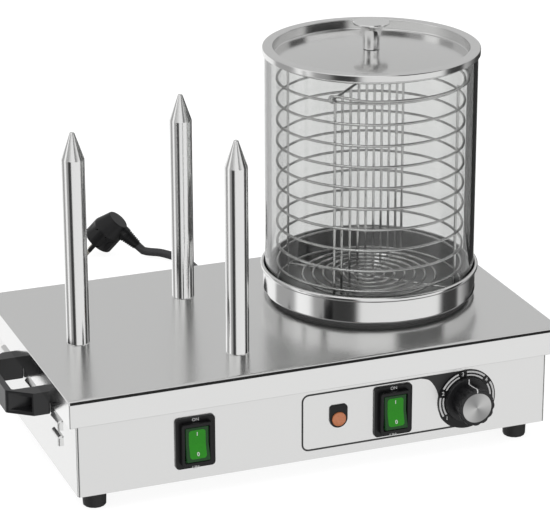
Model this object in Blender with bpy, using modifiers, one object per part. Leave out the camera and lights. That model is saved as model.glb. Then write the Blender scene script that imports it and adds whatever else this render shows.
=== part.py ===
"""A countertop hot dog machine: three heated spikes for the rolls and a glass steamer with a wire basket.

Lengths are in metres and +Z is up. The origin is on the table under the middle of the machine, and the
control panel faces -Y.
"""

import math

import bmesh
import bpy
from mathutils import Matrix, Vector

# Gaps and overruns that all pieces share
GAP = 0.0003
OVERRUN = 0.004
MERGE = 0.00001
SHEET = 0.001

# Cover plate, with its flange turned down all round
PLATE_WIDTH = 0.476
PLATE_DEPTH = 0.283
PLATE_TOP = 0.1155
FLANGE = 0.025
PLATE_LONG_BEND = 0.005
PLATE_SIDE_BEND = 0.0013
SIDE_OVERHANG = 0.009
FRONT_OVERHANG = 0.011

# Body under the cover plate
FOOT_HEIGHT = 0.018
FOOT_RADIUS = 0.0107
FOOT_TOP_RADIUS = 0.0112
FOOT_ROUND = 0.0015
FOOT_INSET = 0.021
BODY_BEND = 0.003

# Louvres in both sides of the body
LOUVRE_LENGTH = 0.0245
LOUVRE_HEIGHT = 0.009
LOUVRE_BULGE = 0.0048
LOUVRE_PITCH = 0.084
LOUVRE_SHIFT = 0.0065
LOUVRE_UPPER_Z = 0.0715
LOUVRE_LOWER_Z = 0.0565
LOUVRE_WALL = 0.0009
LOUVRE_ARC_STEPS = 4

# Side handles
HANDLE_REACH = 0.0375
HANDLE_HEIGHT = 0.022
HANDLE_DROP = 0.001
HANDLE_HALF_ROOT = 0.052
HANDLE_HALF_FACE = 0.035
HANDLE_ROOT_REACH = 0.016
HANDLE_GRIP = 0.0058
HANDLE_HALF_GAP = 0.036
HANDLE_CORNER = 0.0025
HANDLE_EDGE = 0.0012
POCKET_WIDTH = 0.0135
POCKET_HEIGHT = 0.0145
POCKET_WALL = 0.001
POCKET_FLOOR = 0.005
SCREW_RADIUS = 0.002
SCREW_CLEARANCE = 0.0003
SCREW_HEAD_RADIUS = 0.0037
SCREW_HEAD_HEIGHT = 0.0024
HANDLE_SCREW_INSIDE = 0.006

# Roll spikes: one on the left and a pair on the right, with their places given from the cover plate
SPIKE_RADIUS = 0.0106
SPIKE_HEIGHT = 0.201
SPIKE_CONE = 0.025
SPIKE_TIP_RADIUS = 0.0016
SPIKE_PAIR = 0.150
SPIKE_PAIR_X = -0.0611
SPIKE_STEP = 0.1278
SPIKE_ROW_Y = -0.0094
STUD_RADIUS = 0.004
STUD_CLEARANCE = 0.0003
STUD_BELOW = 0.012
NUT_RADIUS = 0.0075
NUT_HEIGHT = 0.0065

# Steamer, with its middle given from the middle of the cover plate
STEAMER_X = 0.1107
STEAMER_Y = 0.016
SEAT_HEIGHT = 0.0034
SEAT_RADIUS = 0.096
SEAT_WIDTH = 0.006
PAN_RADIUS = 0.1016
PAN_HEIGHT = 0.0266
PAN_SHEET = 0.0008
PAN_CORNER = 0.0008
PAN_OUTER_CORNER = 0.0015
PAN_ROLL = 0.0024
HEATER_RADIUS = 0.084
HEATER_BOSS_RADIUS = 0.078
HEATER_BOSS_DEPTH = 0.0045
HEATER_HOLE_CLEARANCE = 0.0015
ELEMENT_RADIUS = 0.0032
ELEMENT_RING = 0.058
ELEMENT_GAP_ANGLE = math.radians(24)
ELEMENT_LEG = 0.014
GLASS_RADIUS = 0.100
GLASS_WALL = 0.0032
GLASS_TOP = 0.3577

# Lid of the steamer
LID_SHEET = 0.0009
LID_RIM_RADIUS = 0.102
LID_RECESS_RADIUS = 0.092
LID_LIP = 0.006
LID_RECESS_DEPTH = 0.010
LID_DOME = 0.007
LID_DOME_STEPS = 2
KNOB_RADIUS = 0.017
KNOB_FOOT_RADIUS = 0.0081
KNOB_HEIGHT = 0.0255
KNOB_SCREW_RADIUS = 0.002
KNOB_SCREW_DEPTH = 0.012
KNOB_SCREW_HEAD_RADIUS = 0.0042
KNOB_SCREW_HEAD_HEIGHT = 0.0025

# Sausage basket of round wire
WIRE = 0.0013
WELD = 0.0004
BASKET_RADIUS = 0.088
BASKET_PITCH = 0.0202
BASKET_RINGS = 10
BASKET_TOP_RING_Z = 0.329
BASKET_BASE_RING_Z = 0.127
BASKET_TURN = math.radians(45)
PARTITION_WIRES = 8
PARTITION_PITCH = 0.0196
PARTITION_OVERHANG = 0.0065
WIRE_TURN = math.radians(12)
GRID_PITCH = 0.00985
GRID_CIRCLES = 7
BAIL_RADIUS = 0.0915
BAIL_EYE_RADIUS = 0.003
BAIL_EYE_ANGLE = math.radians(240)
BAIL_RISE_SHARE = 0.12
BAIL_POINTS = 30
BAIL_EYE_POINTS = 9

# Rocker switches
SWITCH_Z = 0.055
SWITCH_LEFT_X = -0.1195
SWITCH_RIGHT_X = 0.0727
BEZEL_WIDTH = 0.0375
BEZEL_HEIGHT = 0.049
BEZEL_PLATE = 0.0025
BEZEL_CORNER = 0.0035
COLLAR_WIDTH = 0.0295
COLLAR_HEIGHT = 0.0405
COLLAR_REACH = 0.0078
SWITCH_BODY_WIDTH = 0.0275
SWITCH_BODY_HEIGHT = 0.037
SWITCH_BODY_DEPTH = 0.024
ROCKER_WIDTH = 0.0225
ROCKER_HEIGHT = 0.0325
ROCKER_CLEARANCE = 0.0004
ROCKER_TILT = math.radians(8)
ROCKER_MIDDLE_REACH = 0.0067
ROCKER_PIVOT_REACH = 0.003
ROCKER_BACK = 0.004

# Pilot lamp with its tag
PILOT_X = 0.0189
PILOT_TAG_WIDTH = 0.0175
PILOT_TAG_TOP = 0.0687
PILOT_TAG_BOTTOM = 0.0463
PILOT_TAG_PLATE = 0.0012
PILOT_TAG_CORNER = 0.0035
PILOT_LENS_RADIUS = 0.0068
PILOT_LENS_RISE = 0.0022
PILOT_LENS_CLEARANCE = 0.0003
PILOT_STEM_RADIUS = 0.005
PILOT_STEM_DEPTH = 0.016

# Thermostat dial and knob
DIAL_X = 0.1472
DIAL_Z = 0.0542
DIAL_RADIUS = 0.029
DIAL_PLATE = 0.0008
CONTROL_REACH = 0.024
CONTROL_SKIRT_RADIUS = 0.0223
CONTROL_SKIRT = 0.0035
CONTROL_ROOT_RADIUS = 0.0168
CONTROL_FRONT_RADIUS = 0.0186
CONTROL_FLUTES = 12
CONTROL_FLUTE = 0.0012
CONTROL_CAP_RADIUS = 0.0144
CONTROL_CAP = 0.0022
CONTROL_CAP_RISE = 0.0003
CONTROL_CLEARANCE = 0.0006
CONTROL_SOCKET = 0.012
SHAFT_RADIUS = 0.003
SHAFT_CLEARANCE = 0.0003
SHAFT_INSIDE = 0.012
THERMOSTAT_RADIUS = 0.017
THERMOSTAT_DEPTH = 0.024

# Terminal block on the bottom plate
TERMINAL_WIDTH = 0.052
TERMINAL_DEPTH = 0.020
TERMINAL_HEIGHT = 0.019
TERMINAL_X = 0.035
TERMINAL_INSET = 0.030
TERMINAL_POLES = 4
TERMINAL_SLOT = 0.003

# Cord, with its gland in the back of the body
CORD_RADIUS = 0.0046
CORD_LIFT = 0.0001
CORD_STEP = 0.019
ROUTE_STEPS = 8
GLAND_X = 0.068
GLAND_Z = 0.048
GLAND_FLANGE_RADIUS = 0.0105
GLAND_FLANGE = 0.004
GLAND_THREAD_RADIUS = 0.0075
GLAND_THREAD = 0.011
GLAND_NUT = 0.005
GLAND_NUT_RADIUS = 0.0115
RELIEF_LENGTH = 0.036
RELIEF_ROOT_RADIUS = 0.0074
RELIEF_END_RADIUS = 0.0055
COIL_Y = 0.295
COIL_RADIUS = 0.050
COIL_LOOPS = 3
COIL_PITCH = 0.0101
COIL_LAYER = 0.0099
COIL_LOOP_POINTS = 24
CLIMB_TURNS = 0.5

# Plug that stands on the tips of its pins and on its cord
PLUG_TIP_X = -0.0230
PLUG_TIP_Y = 0.5160
PLUG_HEADING = math.radians(-31)
PLUG_TILT = math.radians(49)
PLUG_FACE_RADIUS = 0.0182
PLUG_RIM = 0.019
PLUG_DEPTH = 0.0366
PLUG_BACK_RADIUS = 0.0125
PLUG_BACK_SHIFT = 0.001
PLUG_EDGE = 0.0015
PIN_RADIUS = 0.0024
PIN_LENGTH = 0.019
PIN_SPACING = 0.019
NECK_DEPTH = 0.028
NECK_START = 0.0183
NECK_LENGTH = 0.0175
NECK_ROOT_RADIUS = 0.0081
NECK_END_RADIUS = 0.0056
NECK_RIBS = 7
NECK_RIB_DEPTH = 0.0007
BOSS_RADIUS = 0.0084

# Route of the cord from the gland down to the coil: place along Y and height over where it lies
EXIT_ROUTE = [
    (0.200, 0.0414),
    (0.216, 0.0352),
    (0.232, 0.0235),
    (0.247, 0.0115),
    (0.262, 0.0033),
    (0.276, 0.0),
]

# Route of the cord from the coil to the plug, over the table, and height over where it lies
TAIL_ROUTE = [
    (0.0682, 0.322, 0.0070),
    (0.0688, 0.342, 0.0028),
    (0.0694, 0.362, 0.0005),
    (0.0699, 0.382, 0.0),
    (0.0703, 0.401, 0.0),
    (0.0704, 0.419, 0.0),
    (0.0695, 0.4355, 0.0),
    (0.0660, 0.4505, 0.0),
    (0.0590, 0.4625, 0.0003),
    (0.0490, 0.4715, 0.0019),
]

# Shares of a piece's own radius and height
LENS_SHARES = ((0, 1), (0.55, 0.82), (0.9, 0.3), (1, 0))
PIN_TIP_SHARE = 0.55
KNOB_SHARES = (
    (0, 1),
    (0.96, 1),
    (1, 0.975),
    (1, 0.925),
    (0.85, 0.88),
    (0.67, 0.78),
    (0.56, 0.6),
    (0.53, 0.35),
)
SPIKE_TIP_SHARES = ((0, 0), (1, 0.5), (1.5, 2))
ROLL_SHARES = ((0.7, 0), (1, 0.7), (0.7, 1.6), (0, 1.8))
HEAD_SHARE = 0.75

# Sides of the round pieces
FINE = 48
MEDIUM = 32
COARSE = 20
SMALL = 14
RING_SIDES = 24
OCTAGON = 8
HEXAGON = 6
PENTAGON = 5
SMOOTH_ANGLE = math.radians(40)
CORNER_STEPS = 3
BEND_STEPS = 4
FLUTE_STEPS = 4

# Places that follow from the sizes
PLATE_Y = (CONTROL_REACH - FRONT_OVERHANG) / 2
BODY_HALF_WIDTH = PLATE_WIDTH / 2 - SIDE_OVERHANG
BODY_HALF_DEPTH = PLATE_DEPTH / 2 - FRONT_OVERHANG
BODY_BOTTOM = FOOT_HEIGHT + GAP
BODY_TOP = PLATE_TOP - SHEET - GAP
PANEL_Y = PLATE_Y - BODY_HALF_DEPTH
BACK_Y = PLATE_Y + BODY_HALF_DEPTH
HANDLE_TOP = PLATE_TOP - FLANGE - HANDLE_DROP
HANDLE_MIDDLE_Z = HANDLE_TOP - HANDLE_HEIGHT / 2
HANDLE_SCREW_Y = HANDLE_HALF_ROOT - POCKET_WALL - POCKET_WIDTH / 2
STEAMER = Vector((STEAMER_X, PLATE_Y + STEAMER_Y, 0))
SEAT_Z = PLATE_TOP + GAP
PAN_Z = SEAT_Z + SEAT_HEIGHT + GAP
PAN_FLOOR_Z = PAN_Z + PAN_SHEET
LID_TOP = GLASS_TOP + GAP + LID_SHEET
LID_FLOOR_Z = LID_TOP - LID_RECESS_DEPTH
LID_MIDDLE_Z = LID_FLOOR_Z + LID_DOME
PARTITION_Z = BASKET_TOP_RING_Z + 2 * WIRE + GAP
CORD_Z = CORD_RADIUS + CORD_LIFT
COIL_X = GLAND_X - COIL_RADIUS - COIL_PITCH * COIL_LOOPS / 4

STEEL = ((0.72, 0.72, 0.71), 0.28, 1.0)
BRIGHT_STEEL = ((0.82, 0.82, 0.82), 0.14, 1.0)
DULL_STEEL = ((0.42, 0.42, 0.42), 0.45, 1.0)
PLASTIC = ((0.018, 0.018, 0.019), 0.42, 0.0)
RUBBER = ((0.02, 0.02, 0.02), 0.75, 0.0)
CORD_RUBBER = ((0.05, 0.05, 0.052), 0.6, 0.0)
GLASS = ((0.93, 0.96, 0.96), 0.03, 0.0)
GREEN = ((0.05, 0.42, 0.08), 0.3, 0.0)
ORANGE = ((0.85, 0.3, 0.12), 0.3, 0.0)
BRASS = ((0.72, 0.55, 0.28), 0.3, 1.0)

FACING_FRONT = Matrix.Rotation(math.pi / 2, 4, "X")
FACING_BACK = Matrix.Rotation(-math.pi / 2, 4, "X")
FACING_RIGHT = Matrix(((0, 0, 1, 0), (1, 0, 0, 0), (0, 1, 0, 0), (0, 0, 0, 1)))
BASKET_FRAME = Matrix.Translation(STEAMER) @ Matrix.Rotation(BASKET_TURN, 4, "Z")


def clear_scene():
    for obj in list(bpy.data.objects):
        bpy.data.objects.remove(obj, do_unlink=True)


def new_collection(name, parent):
    made = bpy.data.collections.new(name)
    parent.children.link(made)
    return made


def finish(obj, look):
    """Gives the object a material of its own: colour, roughness and metallic value."""
    colour, roughness, metallic = look
    made = bpy.data.materials.new(obj.name)
    made.use_nodes = True
    shader = made.node_tree.nodes["Principled BSDF"]
    shader.inputs["Base Color"].default_value = (*colour, 1)
    shader.inputs["Roughness"].default_value = roughness
    shader.inputs["Metallic"].default_value = metallic
    obj.data.materials.clear()
    obj.data.materials.append(made)


def put(name, data, look, matrix):
    """Links an object as a piece of the machine, or as a helper where it has no look."""
    obj = bpy.data.objects.new(name, data)
    obj.matrix_world = matrix
    if look is None:
        HELPERS.objects.link(obj)
        obj.hide_render = True
        obj.display_type = "WIRE"
    else:
        MACHINE.objects.link(obj)
        finish(obj, look)
    return obj


def at(x, y, z, turn=None):
    place = Matrix.Translation((x, y, z))
    return place if turn is None else place @ turn


def box(name, low, high, look):
    """A box between two corners, with its origin in its middle."""
    bm = bmesh.new()
    bmesh.ops.create_cube(bm, size=1)
    bmesh.ops.scale(bm, vec=Vector(high) - Vector(low), verts=bm.verts)
    mesh = bpy.data.meshes.new(name)
    bm.to_mesh(mesh)
    bm.free()
    return put(name, mesh, look, Matrix.Translation((Vector(low) + Vector(high)) / 2))


def rod(name, radius, length, look, matrix, sides=SMALL):
    """A cylinder along the matrix's Z, from its origin."""
    bm = bmesh.new()
    bmesh.ops.create_cone(bm, cap_ends=True, segments=sides, radius1=radius, radius2=radius, depth=length)
    bmesh.ops.translate(bm, vec=(0, 0, length / 2), verts=bm.verts)
    mesh = bpy.data.meshes.new(name)
    bm.to_mesh(mesh)
    bm.free()
    smooth(mesh)
    return put(name, mesh, look, matrix)


def smooth(mesh):
    mesh.shade_smooth()
    mesh.set_sharp_from_angle(angle=SMOOTH_ANGLE)


def turned(name, profile, look, matrix, sides=COARSE, ring=False):
    """A shape turned round the matrix's Z: pairs of radius and height, down the outer side."""
    points = [(radius, 0, height) for radius, height in profile]
    edges = [(i, i + 1) for i in range(len(points) - 1)]
    if ring:
        edges.append((len(points) - 1, 0))
    mesh = bpy.data.meshes.new(name)
    mesh.from_pydata(points, edges, [])
    obj = put(name, mesh, look, matrix)
    screw = obj.modifiers.new("Turn", "SCREW")
    screw.steps = sides
    screw.render_steps = sides
    screw.use_smooth_shade = True
    screw.use_merge_vertices = True
    screw.merge_threshold = MERGE
    return obj


def flat(name, loops, thickness, look, matrix):
    """A flat outline, with holes, that stands on the matrix's XY plane."""
    curve = bpy.data.curves.new(name, "CURVE")
    curve.dimensions = "2D"
    curve.fill_mode = "BOTH"
    curve.extrude = thickness / 2
    for loop in loops:
        add_spline(curve, [(x, y, 0) for x, y in loop], True)
    return as_mesh(name, curve, look, matrix @ Matrix.Translation((0, 0, thickness / 2)))


def tube(name, points, radius, resolution, look, matrix=Matrix()):
    """A round tube through points."""
    curve = bpy.data.curves.new(name, "CURVE")
    curve.dimensions = "3D"
    curve.bevel_depth = radius
    curve.bevel_resolution = resolution
    curve.use_fill_caps = True
    add_spline(curve, points, False)
    return as_mesh(name, curve, look, matrix)


def add_spline(curve, points, closed):
    spline = curve.splines.new("POLY")
    spline.points.add(len(points) - 1)
    for point, place in zip(spline.points, points):
        point.co = (*place, 1)
    spline.use_cyclic_u = closed


def as_mesh(name, curve, look, matrix):
    """The curve's shape as a closed mesh object."""
    guide = bpy.data.objects.new(name, curve)
    HELPERS.objects.link(guide)
    evaluated = guide.evaluated_get(bpy.context.evaluated_depsgraph_get())
    mesh = bpy.data.meshes.new_from_object(evaluated)
    bpy.data.objects.remove(guide)
    bpy.data.curves.remove(curve)
    bm = bmesh.new()
    bm.from_mesh(mesh)
    bmesh.ops.remove_doubles(bm, verts=bm.verts, dist=MERGE / 10)
    bmesh.ops.recalc_face_normals(bm, faces=bm.faces)
    bm.to_mesh(mesh)
    bm.free()
    mesh.name = name
    mesh.materials.clear()
    smooth(mesh)
    return put(name, mesh, look, matrix)


def combine(obj, operation, helpers):
    """Cuts the helpers from the object, or joins them to it."""
    group = new_collection(f"{obj.name} {operation.lower()}", HELPERS)
    for helper in helpers:
        HELPERS.objects.unlink(helper)
        group.objects.link(helper)
    boolean = obj.modifiers.new(operation.title(), "BOOLEAN")
    boolean.operation = operation
    boolean.operand_type = "COLLECTION"
    boolean.collection = group
    boolean.solver = "EXACT"


def round_edges(obj, width, segments=2):
    bevel = obj.modifiers.new("Rounded edges", "BEVEL")
    bevel.width = width
    bevel.segments = segments
    bevel.limit_method = "ANGLE"
    bevel.angle_limit = SMOOTH_ANGLE


def attach(parent, children):
    """Parents pieces to the one that carries them, and leaves them where they are."""
    bpy.context.view_layer.update()
    for child in children:
        child.parent = parent
        child.matrix_parent_inverse = parent.matrix_world.inverted()


def arc(middle, radius, start, end, steps):
    """Points of an arc, ends included."""
    angles = [start + (end - start) * i / steps for i in range(steps + 1)]
    return [(middle[0] + radius * math.cos(a), middle[1] + radius * math.sin(a)) for a in angles]


def rounded(corners, radius, steps=CORNER_STEPS):
    """The outline through corners, each rounded with the same radius."""
    outline = []
    for i, corner in enumerate(corners):
        here = Vector(corner)
        back = (Vector(corners[i - 1]) - here).normalized()
        ahead = (Vector(corners[(i + 1) % len(corners)]) - here).normalized()
        half = back.angle(ahead) / 2
        middle = here + (back + ahead).normalized() * (radius / math.sin(half))
        first = here + back * (radius / math.tan(half)) - middle
        sweep = math.pi - 2 * half
        side = 1 if back.x * ahead.y - back.y * ahead.x < 0 else -1
        for k in range(steps + 1):
            turn = Matrix.Rotation(side * sweep * k / steps, 2)
            outline.append(tuple(middle + turn @ first))
    return outline


def rectangle(width, height, x=0.0, y=0.0):
    half_width = width / 2
    half_height = height / 2
    return [
        (x - half_width, y - half_height),
        (x + half_width, y - half_height),
        (x + half_width, y + half_height),
        (x - half_width, y + half_height),
    ]


def circle(radius, x=0.0, y=0.0, sides=COARSE):
    return arc((x, y), radius, 0, 2 * math.pi * (sides - 1) / sides, sides - 1)


def sheet_box(name, half_width, half_depth, low, high, bend, long_bend=None):
    """Folded sheet: four walls with rounded corners. A long bend gives it a top, which that bend
    joins to the front and back walls."""
    capped = long_bend is not None
    front = (-half_width, PLATE_Y - half_depth, low)
    back = (half_width, PLATE_Y + half_depth, high)
    shell = box(name, front, back, STEEL)
    bm = bmesh.new()
    bm.from_mesh(shell.data)
    open_faces = [f for f in bm.faces if f.normal.z < -0.5 or (f.normal.z > 0.5 and not capped)]
    bmesh.ops.delete(bm, geom=open_faces, context="FACES_ONLY")
    if capped:
        top = max(bm.faces, key=lambda face: face.normal.z)
        long_edges = [e for e in top.edges if abs(e.verts[0].co.x - e.verts[1].co.x) > MERGE]
        bmesh.ops.bevel(
            bm, geom=long_edges, offset=long_bend, segments=BEND_STEPS, profile=0.5, affect="EDGES"
        )
    bm.to_mesh(shell.data)
    bm.free()
    round_edges(shell, bend)
    thick = shell.modifiers.new("Sheet", "SOLIDIFY")
    thick.thickness = SHEET
    thick.offset = -1
    return shell


def louvre_shoulder(bulge, height):
    """Rounded top of a louvre's hood: X points away from the wall and Y up."""
    return arc((0, height / 2 - bulge), bulge, math.pi / 2, 0, LOUVRE_ARC_STEPS)


def louvre_pieces(side):
    """Hoods of one side of the body, closed at their ends and open below, and what is cut out of each."""
    hoods = []
    cuts = []
    wall = side * BODY_HALF_WIDTH
    turn = Matrix(((side, 0, 0, 0), (0, 0, -side, 0), (0, 1, 0, 0), (0, 0, 0, 1)))
    half = LOUVRE_HEIGHT / 2
    sill = LOUVRE_WALL - half
    hood = louvre_shoulder(LOUVRE_BULGE, LOUVRE_HEIGHT)
    hood += [(LOUVRE_BULGE, -half), (-SHEET / 2, -half), (-SHEET / 2, half)]
    hollow = louvre_shoulder(LOUVRE_BULGE - LOUVRE_WALL, LOUVRE_HEIGHT - 2 * LOUVRE_WALL)
    hollow += [
        (LOUVRE_BULGE - LOUVRE_WALL, -half - OVERRUN),
        (GAP, -half - OVERRUN),
        (GAP, sill),
        (-OVERRUN, sill),
        (-OVERRUN, -sill),
    ]
    inside = LOUVRE_LENGTH - 2 * LOUVRE_WALL
    for z in (LOUVRE_UPPER_Z, LOUVRE_LOWER_Z):
        for column in (-1, 0, 1):
            y = PLATE_Y + LOUVRE_SHIFT + column * LOUVRE_PITCH
            start = at(wall, y + side * LOUVRE_LENGTH / 2, z, turn)
            hoods.append(flat("louvre hood", [hood], LOUVRE_LENGTH, None, start))
            start = at(wall, y + side * inside / 2, z, turn)
            cuts.append(flat("louvre hollow", [hollow], inside, None, start))
    return hoods, cuts


def make_body():
    body = sheet_box("body_shell", BODY_HALF_WIDTH, BODY_HALF_DEPTH, BODY_BOTTOM, BODY_TOP, BODY_BEND)
    hoods = []
    cuts = []
    for side in (-1, 1):
        side_hoods, side_cuts = louvre_pieces(side)
        hoods += side_hoods
        cuts += side_cuts
    combine(body, "UNION", hoods)
    hole = SCREW_RADIUS + SCREW_CLEARANCE
    for side in (-1, 1):
        for end in (-1, 1):
            low = (side * BODY_HALF_WIDTH - OVERRUN, PLATE_Y + end * HANDLE_SCREW_Y, HANDLE_MIDDLE_Z)
            turn = Matrix.Rotation(math.pi / 2, 4, "Y")
            cuts.append(rod("screw hole", hole, 2 * OVERRUN, None, at(*low, turn)))
    for x in (SWITCH_LEFT_X, SWITCH_RIGHT_X):
        half_width = SWITCH_BODY_WIDTH / 2 + GAP
        half_height = SWITCH_BODY_HEIGHT / 2 + GAP
        low = (x - half_width, PANEL_Y - OVERRUN, SWITCH_Z - half_height)
        high = (x + half_width, PANEL_Y + OVERRUN, SWITCH_Z + half_height)
        cuts.append(box("switch opening", low, high, None))
    front = PANEL_Y + OVERRUN
    lamp_z = PILOT_TAG_BOTTOM + PILOT_TAG_WIDTH / 2
    lamp_hole = PILOT_STEM_RADIUS + PILOT_LENS_CLEARANCE
    cuts.append(rod("lamp hole", lamp_hole, 2 * OVERRUN, None, at(PILOT_X, front, lamp_z, FACING_FRONT)))
    shaft_hole = SHAFT_RADIUS + CONTROL_CLEARANCE
    cuts.append(rod("shaft hole", shaft_hole, 2 * OVERRUN, None, at(DIAL_X, front, DIAL_Z, FACING_FRONT)))
    thread_hole = GLAND_THREAD_RADIUS + GAP
    back = BACK_Y - OVERRUN
    cuts.append(rod("gland hole", thread_hole, 2 * OVERRUN, None, at(GLAND_X, back, GLAND_Z, FACING_BACK)))
    combine(body, "DIFFERENCE", cuts)


def spike_places():
    """Middles of the spikes: the left one, and the two right ones one behind the other."""
    middle = PLATE_Y + SPIKE_ROW_Y
    left = Vector((SPIKE_PAIR_X - SPIKE_STEP, middle, 0))
    return [left] + [Vector((SPIKE_PAIR_X, middle + side * SPIKE_PAIR / 2, 0)) for side in (1, -1)]


def make_cover():
    half_width = PLATE_WIDTH / 2
    half_depth = PLATE_DEPTH / 2
    low = PLATE_TOP - FLANGE
    bends = (PLATE_SIDE_BEND, PLATE_LONG_BEND)
    cover = sheet_box("cover_plate", half_width, half_depth, low, PLATE_TOP, *bends)
    low = PLATE_TOP - OVERRUN
    heater_hole = HEATER_BOSS_RADIUS + HEATER_HOLE_CLEARANCE
    cuts = [rod("heater hole", heater_hole, 2 * OVERRUN, None, at(STEAMER.x, STEAMER.y, low), MEDIUM)]
    for place in spike_places():
        hole = STUD_RADIUS + STUD_CLEARANCE
        cuts.append(rod("stud hole", hole, 2 * OVERRUN, None, at(place.x, place.y, low)))
    combine(cover, "DIFFERENCE", cuts)


def make_bottom():
    half_width = BODY_HALF_WIDTH - SHEET - GAP
    half_depth = BODY_HALF_DEPTH - SHEET - GAP
    outline = rounded(rectangle(2 * half_width, 2 * half_depth, 0, PLATE_Y), BODY_BEND)
    flat("bottom_plate", [outline], SHEET, STEEL, at(0, 0, BODY_BOTTOM))


def make_feet():
    corner = [
        (FOOT_RADIUS - FOOT_ROUND * (1 - math.cos(a)), FOOT_ROUND * (1 - math.sin(a)))
        for a in (0, math.pi / 6, math.pi / 3)
    ]
    top = [(0, FOOT_HEIGHT), (FOOT_TOP_RADIUS, FOOT_HEIGHT)]
    profile = [*top, *corner, (FOOT_RADIUS - FOOT_ROUND, 0), (0, 0)]
    for x_side, x_name in ((-1, "left"), (1, "right")):
        for y_side, y_name in ((-1, "front"), (1, "back")):
            x = x_side * (BODY_HALF_WIDTH - FOOT_INSET)
            y = PLATE_Y + y_side * (BODY_HALF_DEPTH - FOOT_INSET)
            turned(f"foot_{y_name}_{x_name}", profile, RUBBER, at(x, y, 0), SMALL)


def handle_outline():
    """Plan of the right handle: X from the body's side."""
    return rounded(
        [
            (GAP, -HANDLE_HALF_ROOT),
            (HANDLE_ROOT_REACH, -HANDLE_HALF_ROOT),
            (HANDLE_REACH, -HANDLE_HALF_FACE),
            (HANDLE_REACH, HANDLE_HALF_FACE),
            (HANDLE_ROOT_REACH, HANDLE_HALF_ROOT),
            (GAP, HANDLE_HALF_ROOT),
            (GAP, HANDLE_HALF_GAP),
            (HANDLE_REACH - HANDLE_GRIP, HANDLE_HALF_GAP),
            (HANDLE_REACH - HANDLE_GRIP, -HANDLE_HALF_GAP),
            (GAP, -HANDLE_HALF_GAP),
        ],
        HANDLE_CORNER,
    )


def make_handle(side, name):
    facing = Matrix.Identity(4) if side > 0 else Matrix.Rotation(math.pi, 4, "Z")
    low = at(side * BODY_HALF_WIDTH, PLATE_Y, HANDLE_TOP - HANDLE_HEIGHT, facing)
    handle = flat(f"handle_{name}", [handle_outline()], HANDLE_HEIGHT, PLASTIC, low)
    round_edges(handle, HANDLE_EDGE, 1)
    cuts = []
    for end, end_name in ((-1, "a"), (1, "b")):
        y = end * HANDLE_SCREW_Y
        pocket_low = (POCKET_FLOOR, y - POCKET_WIDTH / 2, -POCKET_HEIGHT / 2)
        pocket_high = (HANDLE_REACH + OVERRUN, y + POCKET_WIDTH / 2, POCKET_HEIGHT / 2)
        middle = at(side * BODY_HALF_WIDTH, PLATE_Y, HANDLE_MIDDLE_Z, facing)
        pocket = box("pocket", pocket_low, pocket_high, None)
        pocket.matrix_world = middle @ pocket.matrix_world
        along = Matrix.Rotation(math.pi / 2, 4, "Y")
        start = middle @ at(-OVERRUN, y, 0, along)
        hole_radius = SCREW_RADIUS + SCREW_CLEARANCE
        hole = rod("handle hole", hole_radius, POCKET_FLOOR + 2 * OVERRUN, None, start)
        cuts += [pocket, hole]
        head = POCKET_FLOOR + GAP
        end_inside = -SHEET - HANDLE_SCREW_INSIDE
        profile = [
            (0, head + SCREW_HEAD_HEIGHT),
            (SCREW_HEAD_RADIUS * HEAD_SHARE, head + SCREW_HEAD_HEIGHT),
            (SCREW_HEAD_RADIUS, head),
            (SCREW_RADIUS, head),
            (SCREW_RADIUS, end_inside),
            (0, end_inside),
        ]
        turned(f"handle_screw_{name}_{end_name}", profile, DULL_STEEL, middle @ at(0, y, 0, along), SMALL)
    combine(handle, "DIFFERENCE", cuts)


def make_spikes():
    base = PLATE_TOP + GAP
    top = PLATE_TOP + SPIKE_HEIGHT
    shoulder = top - SPIKE_CONE
    stud_end = PLATE_TOP - STUD_BELOW
    profile = [
        *[(SPIKE_TIP_RADIUS * out, top - SPIKE_TIP_RADIUS * down) for out, down in SPIKE_TIP_SHARES],
        (SPIKE_RADIUS, shoulder),
        (SPIKE_RADIUS, base),
        (STUD_RADIUS, base),
        (STUD_RADIUS, stud_end),
        (0, stud_end),
    ]
    for place, name in zip(spike_places(), ("left", "back", "front")):
        turned(f"spike_{name}", profile, BRIGHT_STEEL, at(place.x, place.y, 0), COARSE)
        nut_low = BODY_TOP - NUT_HEIGHT
        loops = [circle(NUT_RADIUS, sides=HEXAGON), circle(STUD_RADIUS + STUD_CLEARANCE, sides=SMALL)]
        flat(f"spike_nut_{name}", loops, NUT_HEIGHT, DULL_STEEL, at(place.x, place.y, nut_low))


def make_pan():
    middle = Matrix.Translation(STEAMER)
    seat_top = SEAT_Z + SEAT_HEIGHT
    seat = [
        (SEAT_RADIUS - SEAT_WIDTH, seat_top),
        (SEAT_RADIUS, seat_top),
        (SEAT_RADIUS, SEAT_Z),
        (SEAT_RADIUS - SEAT_WIDTH, SEAT_Z),
    ]
    turned("pan_seat_ring", seat, RUBBER, middle, MEDIUM, ring=True)
    rim = PAN_Z + PAN_HEIGHT
    inner = PAN_RADIUS - PAN_SHEET
    roll = PAN_ROLL
    pan = [
        (0, PAN_FLOOR_Z),
        (inner - PAN_CORNER, PAN_FLOOR_Z),
        (inner, PAN_FLOOR_Z + PAN_CORNER),
        (inner, rim - roll / 2),
        (PAN_RADIUS, rim),
        *[(PAN_RADIUS + out * roll, rim - down * roll) for out, down in ROLL_SHARES],
        (PAN_RADIUS, PAN_Z + PAN_OUTER_CORNER),
        (PAN_RADIUS - PAN_OUTER_CORNER, PAN_Z),
        (0, PAN_Z),
    ]
    turned("pan", pan, BRIGHT_STEEL, middle, FINE)


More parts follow.
